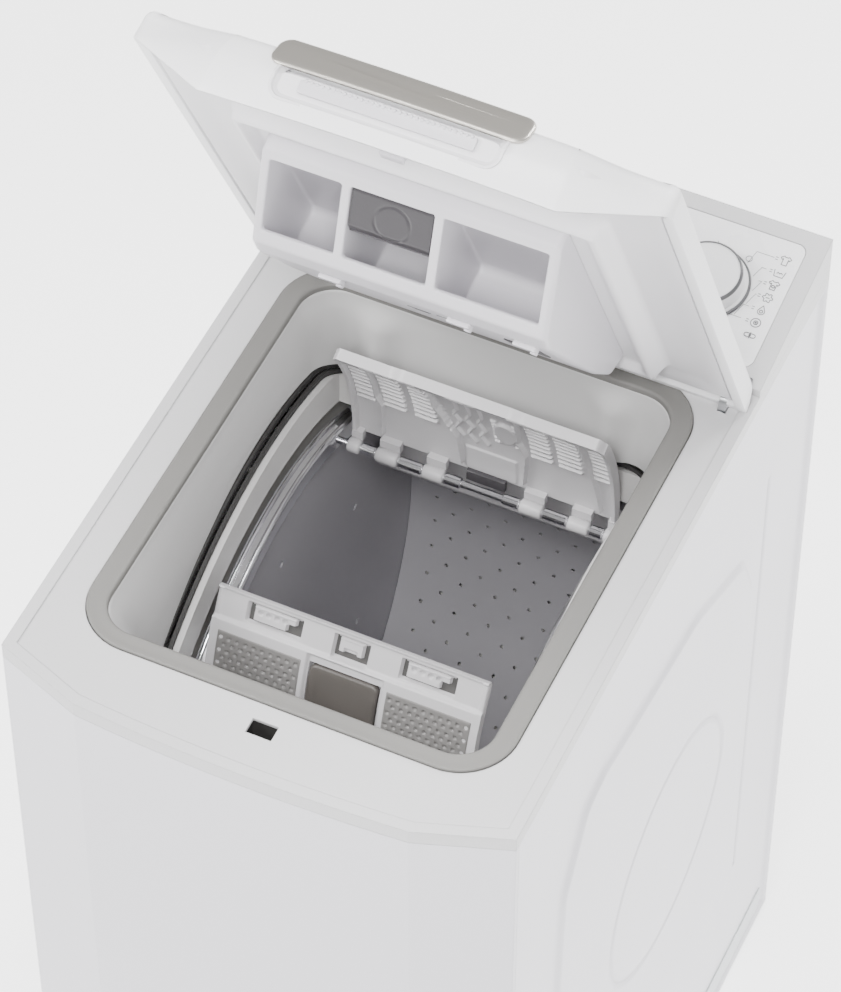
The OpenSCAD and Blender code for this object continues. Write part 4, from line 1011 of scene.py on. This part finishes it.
def pictograms(shape, x, rows):
    """Seven generic signs: shirt, basin, bow, flower, drop, spiral and wings."""
    shirt = [(-4.2, 2.2), (-2, 4), (-1, 3.2), (1, 3.2), (2, 4), (4.2, 2.2), (3, 0.6), (2, 1.4), (2, -4),
             (-2, -4),
             (-2, 1.4), (-3, 0.6)]
    basin = [(-4.4, 2), (-3.4, -3.4), (3.4, -3.4), (4.4, 2)]
    signs = [
        [(shirt, True)],
        [(basin, False), ([(-2, -0.5), (-1, 0.6), (0.2, -0.5), (1.4, 0.6), (2.4, -0.5)], False)],
        [(shirt, True), (circle_at(0, -1, 1.1), True)],
        [(circle_at(0, 0, 3.4, steps=40, wave=0.22, petals=6), True), ([(-1.4, 0), (1.4, 0)], False)],
        [(circle_at(0, -1.2, 2.7, -220, 40), False), ([(-2.1, 0.6), (0, 4.2), (2.1, 0.6)], False),
         (circle_at(0, -1.2, 1.2), True)],
        [(circle_at(0, 0, 3.8), True), (circle_at(0, 0, 1.6), True), (circle_at(0, 0, 0.5), True)],
        [(circle_at(-1.9, 0, 2.1, steps=20, wave=0.2, petals=2), True),
         (circle_at(1.9, 0, 2.1, steps=20, wave=0.2, petals=2), True), ([(0, -2.6), (0, 2.6)], False)],
    ]
    for v, sign in zip(rows, signs):
        for points, closed in sign:
            stroke(shape, [(x + p[0], v + p[1]) for p in points], 0.55, on_console, closed=closed)


def console():
    low, high = corners("programme_knob")
    knob_x = (low[0] + high[0]) / 2
    knob_v = 73
    sheet = Shape()
    rings = []
    for grow, h in ((-6, -0.12), (-1.2, -0.12), (-0.3, -0.3), (0, -0.8), (0, -1.9)):
        p = rounded_rect(-185.7 - grow, 15.3 - grow, 185.7 + grow, 129.7 + grow, 7.7 + grow, 8, 30)
        rings.append(on_console(p[:, 0], p[:, 1], np.full(len(p), h)))
    sheet.loft(rings)
    make("fascia", sheet, "cabinet", fascia_white, ["console_fascia"], sharp=40)

    prints = Shape()
    rows = np.linspace(112, 42, 7)
    pictograms(prints, 174, rows)
    for k, v in enumerate(rows[:6]):
        angle = math.radians(52 - 21 * k)
        start = (knob_x + 34.5 * math.cos(angle), knob_v + 34.5 * math.sin(angle))
        bend = (knob_x + 36.5 * math.cos(angle) + 1.5, v)
        stroke(prints, [start, bend, (165 - (k % 3) * 1.5, v)], 0.3, on_console, 0.1)
        for d in range(2):
            stroke(prints, [(166.3, v - 1 + 2 * d), (168.0, v - 1 + 2 * d)], 0.45, on_console)
    stroke(prints, circle_at(knob_x + 21, knob_v + 31, 2.4), 0.35, on_console, closed=True)
    for k in range(7):
        angle = math.radians(100 + 26 * k)
        stroke(prints, [(knob_x + 34 * math.cos(angle), knob_v + 34 * math.sin(angle)),
                        (knob_x + 37.5 * math.cos(angle), knob_v + 37.5 * math.sin(angle))], 0.35, on_console)
    ring = circle_at(20, knob_v, 12.5, steps=40)
    stroke(prints, ring, 0.4, on_console, closed=True)
    make("console_prints", prints, "cabinet", print_grey, sharp=40)

    def lathe(profile, x, v, name, body, material, replaces=()):
        shape = Shape()
        rings = []
        for r, h in profile:
            p = np.array(circle_at(x, v, max(r, 0.01), 0, 360 - 360 / 96, 96))
            rings.append(on_console(p[:, 0], p[:, 1], np.full(len(p), float(h))))
        shape.loft(rings)
        return make(name, shape, body, material, replaces, sharp=40)

    lathe([(30.8, 0.3), (31, 1), (31, 2.2), (30.4, 3.0), (29.0, 3.1), (28.2, 3.4), (27.4, 9),
           (26.6, 14.2), (26.1, 15.6), (25.0, 16.4),
           (23.5, 16.6), (21, 16.5), (12, 16.3), (4, 16.25), (0.02, 16.25)], knob_x, knob_v,
          "knob", "programme_knob",
          lid_plastic, ["programme_knob"])
    lathe([(31.2, 0.35), (32.6, 0.35), (32.8, 1.2), (32.2, 2.4), (31.2, 2.4)], knob_x, knob_v,
          "knob_base_ring", "programme_knob", ring_dark)
    rim = Shape()
    rings = []
    for r, h in ((26.75, 13.2), (27.2, 14.4), (26.9, 15.9), (25.6, 17.0), (25.1, 16.6), (25.9, 15.2)):
        p = np.array(circle_at(knob_x, knob_v, r, 0, 360 - 360 / 96, 96))
        rings.append(on_console(p[:, 0], p[:, 1], np.full(len(p), h)))
    rim.ring(rings)
    make("knob_rim", rim, "programme_knob", ring_dark, sharp=60)
    mark = Shape()
    stroke(mark, [(knob_x + 15 * math.cos(2.2), knob_v + 15 * math.sin(2.2)),
                  (knob_x + 23 * math.cos(2.2), knob_v + 23 * math.sin(2.2))], 1.1,
           lambda x, v, h: on_console(x, v, h + 16.5))
    make("knob_mark", mark, "programme_knob", print_grey)
    lathe([(8.6, -6.9), (9.4, -6.5), (9.4, -5.7), (6.8, -5.6), (6.8, 1.6), (6.4, 2.5), (5.4, 2.9),
           (3, 2.7), (0.02, 2.6)], 20, knob_v,
          "push_button", "start_button", lid_plastic, ["start_button"])


# ---- Side panels ----
def panel_relief(y, z, top):
    """Depth of the pressed lines and the raised field of a side panel."""
    outline = [(-184, 175), (-184, 560), (-180, 660), (-142, 727), (-108, 733), (-47, 722),
               (70, 706), (166, 662), (192, 600), (196, 175)]
    outline = fillet(outline, [30, 0, 40, 30, 20, 60, 60, 30, 30, 40], 6)
    inside = np.zeros(y.shape)
    near = np.full(y.shape, 1e9)
    for (ay, az), (by, bz) in zip(outline, np.roll(outline, -1, 0)):
        dy, dz = by - ay, bz - az
        t = np.clip(((y - ay) * dy + (z - az) * dz) / (dy * dy + dz * dz + 1e-9), 0, 1)
        near = np.minimum(near, np.hypot(y - ay - t * dy, z - az - t * dz))
        cross = (az > z) != (bz > z)
        rise = dz if abs(dz) > 1e-9 else 1e-9
        inside = np.where(cross & (y < dy * (z - az) / rise + ay), 1 - inside, inside)
    signed = np.where(inside > 0, -near, near)
    depth = 3.4 * smoothstep((signed + 3) / 6)
    ring = abs(np.hypot(y - 33, z - 448) - 112)
    depth = depth + 1.6 * smoothstep(1 - ring / 4.0)
    crease = abs(y - 214) + 1e3 * ((z < 190) | (z > 712))
    depth = depth + 1.6 * smoothstep(1 - crease / 3.2)
    rim = np.minimum(np.minimum(y + 270, rear_y - y), np.minimum(z - 16, top - z))
    return depth * smoothstep((rim - 2) / 10)


def side_panels():
    for node, sign in (("left_side_panel", -1), ("right_side_panel", 1)):
        low, high = corners(node)
        y = np.arange(low[1] + 0.05, high[1] + 0.01, 2.0)
        z = np.arange(low[2], high[2] + 0.01, 2.0)
        y[-1], z[-1] = high[1], high[2]
        yy, zz = np.meshgrid(y, z, indexing="ij")
        depth = panel_relief(yy, zz, high[2]) * 0.9
        outer = high[0] if sign > 0 else low[0]
        shape = Shape()
        shape.relief(np.stack([outer - sign * depth, yy, zz], -1),
                     np.stack([outer - sign * (depth + 1.4), yy, zz], -1))
        inner = outer - sign * 14
        edge = outer - sign * 1.4
        shape.block((min(edge, inner), high[1] - 1.5, low[2]), (max(edge, inner), high[1], high[2]))
        lip = inner + sign * 1.5
        shape.block((min(inner, lip), high[1] - 12, low[2]), (max(inner, lip), high[1] - 1.5, high[2]))
        name = "panel_left" if sign < 0 else "panel_right"
        make(name, shape, "cabinet", white_paint, [node], sharp=50)


stage_set()
lid()
lid_recess()
handle()
latch()
lid_liner()
dispenser()
siphon()
seal()
collar()
bellows()
drum()
rear_flap()
front_flap()
console()
side_panels()
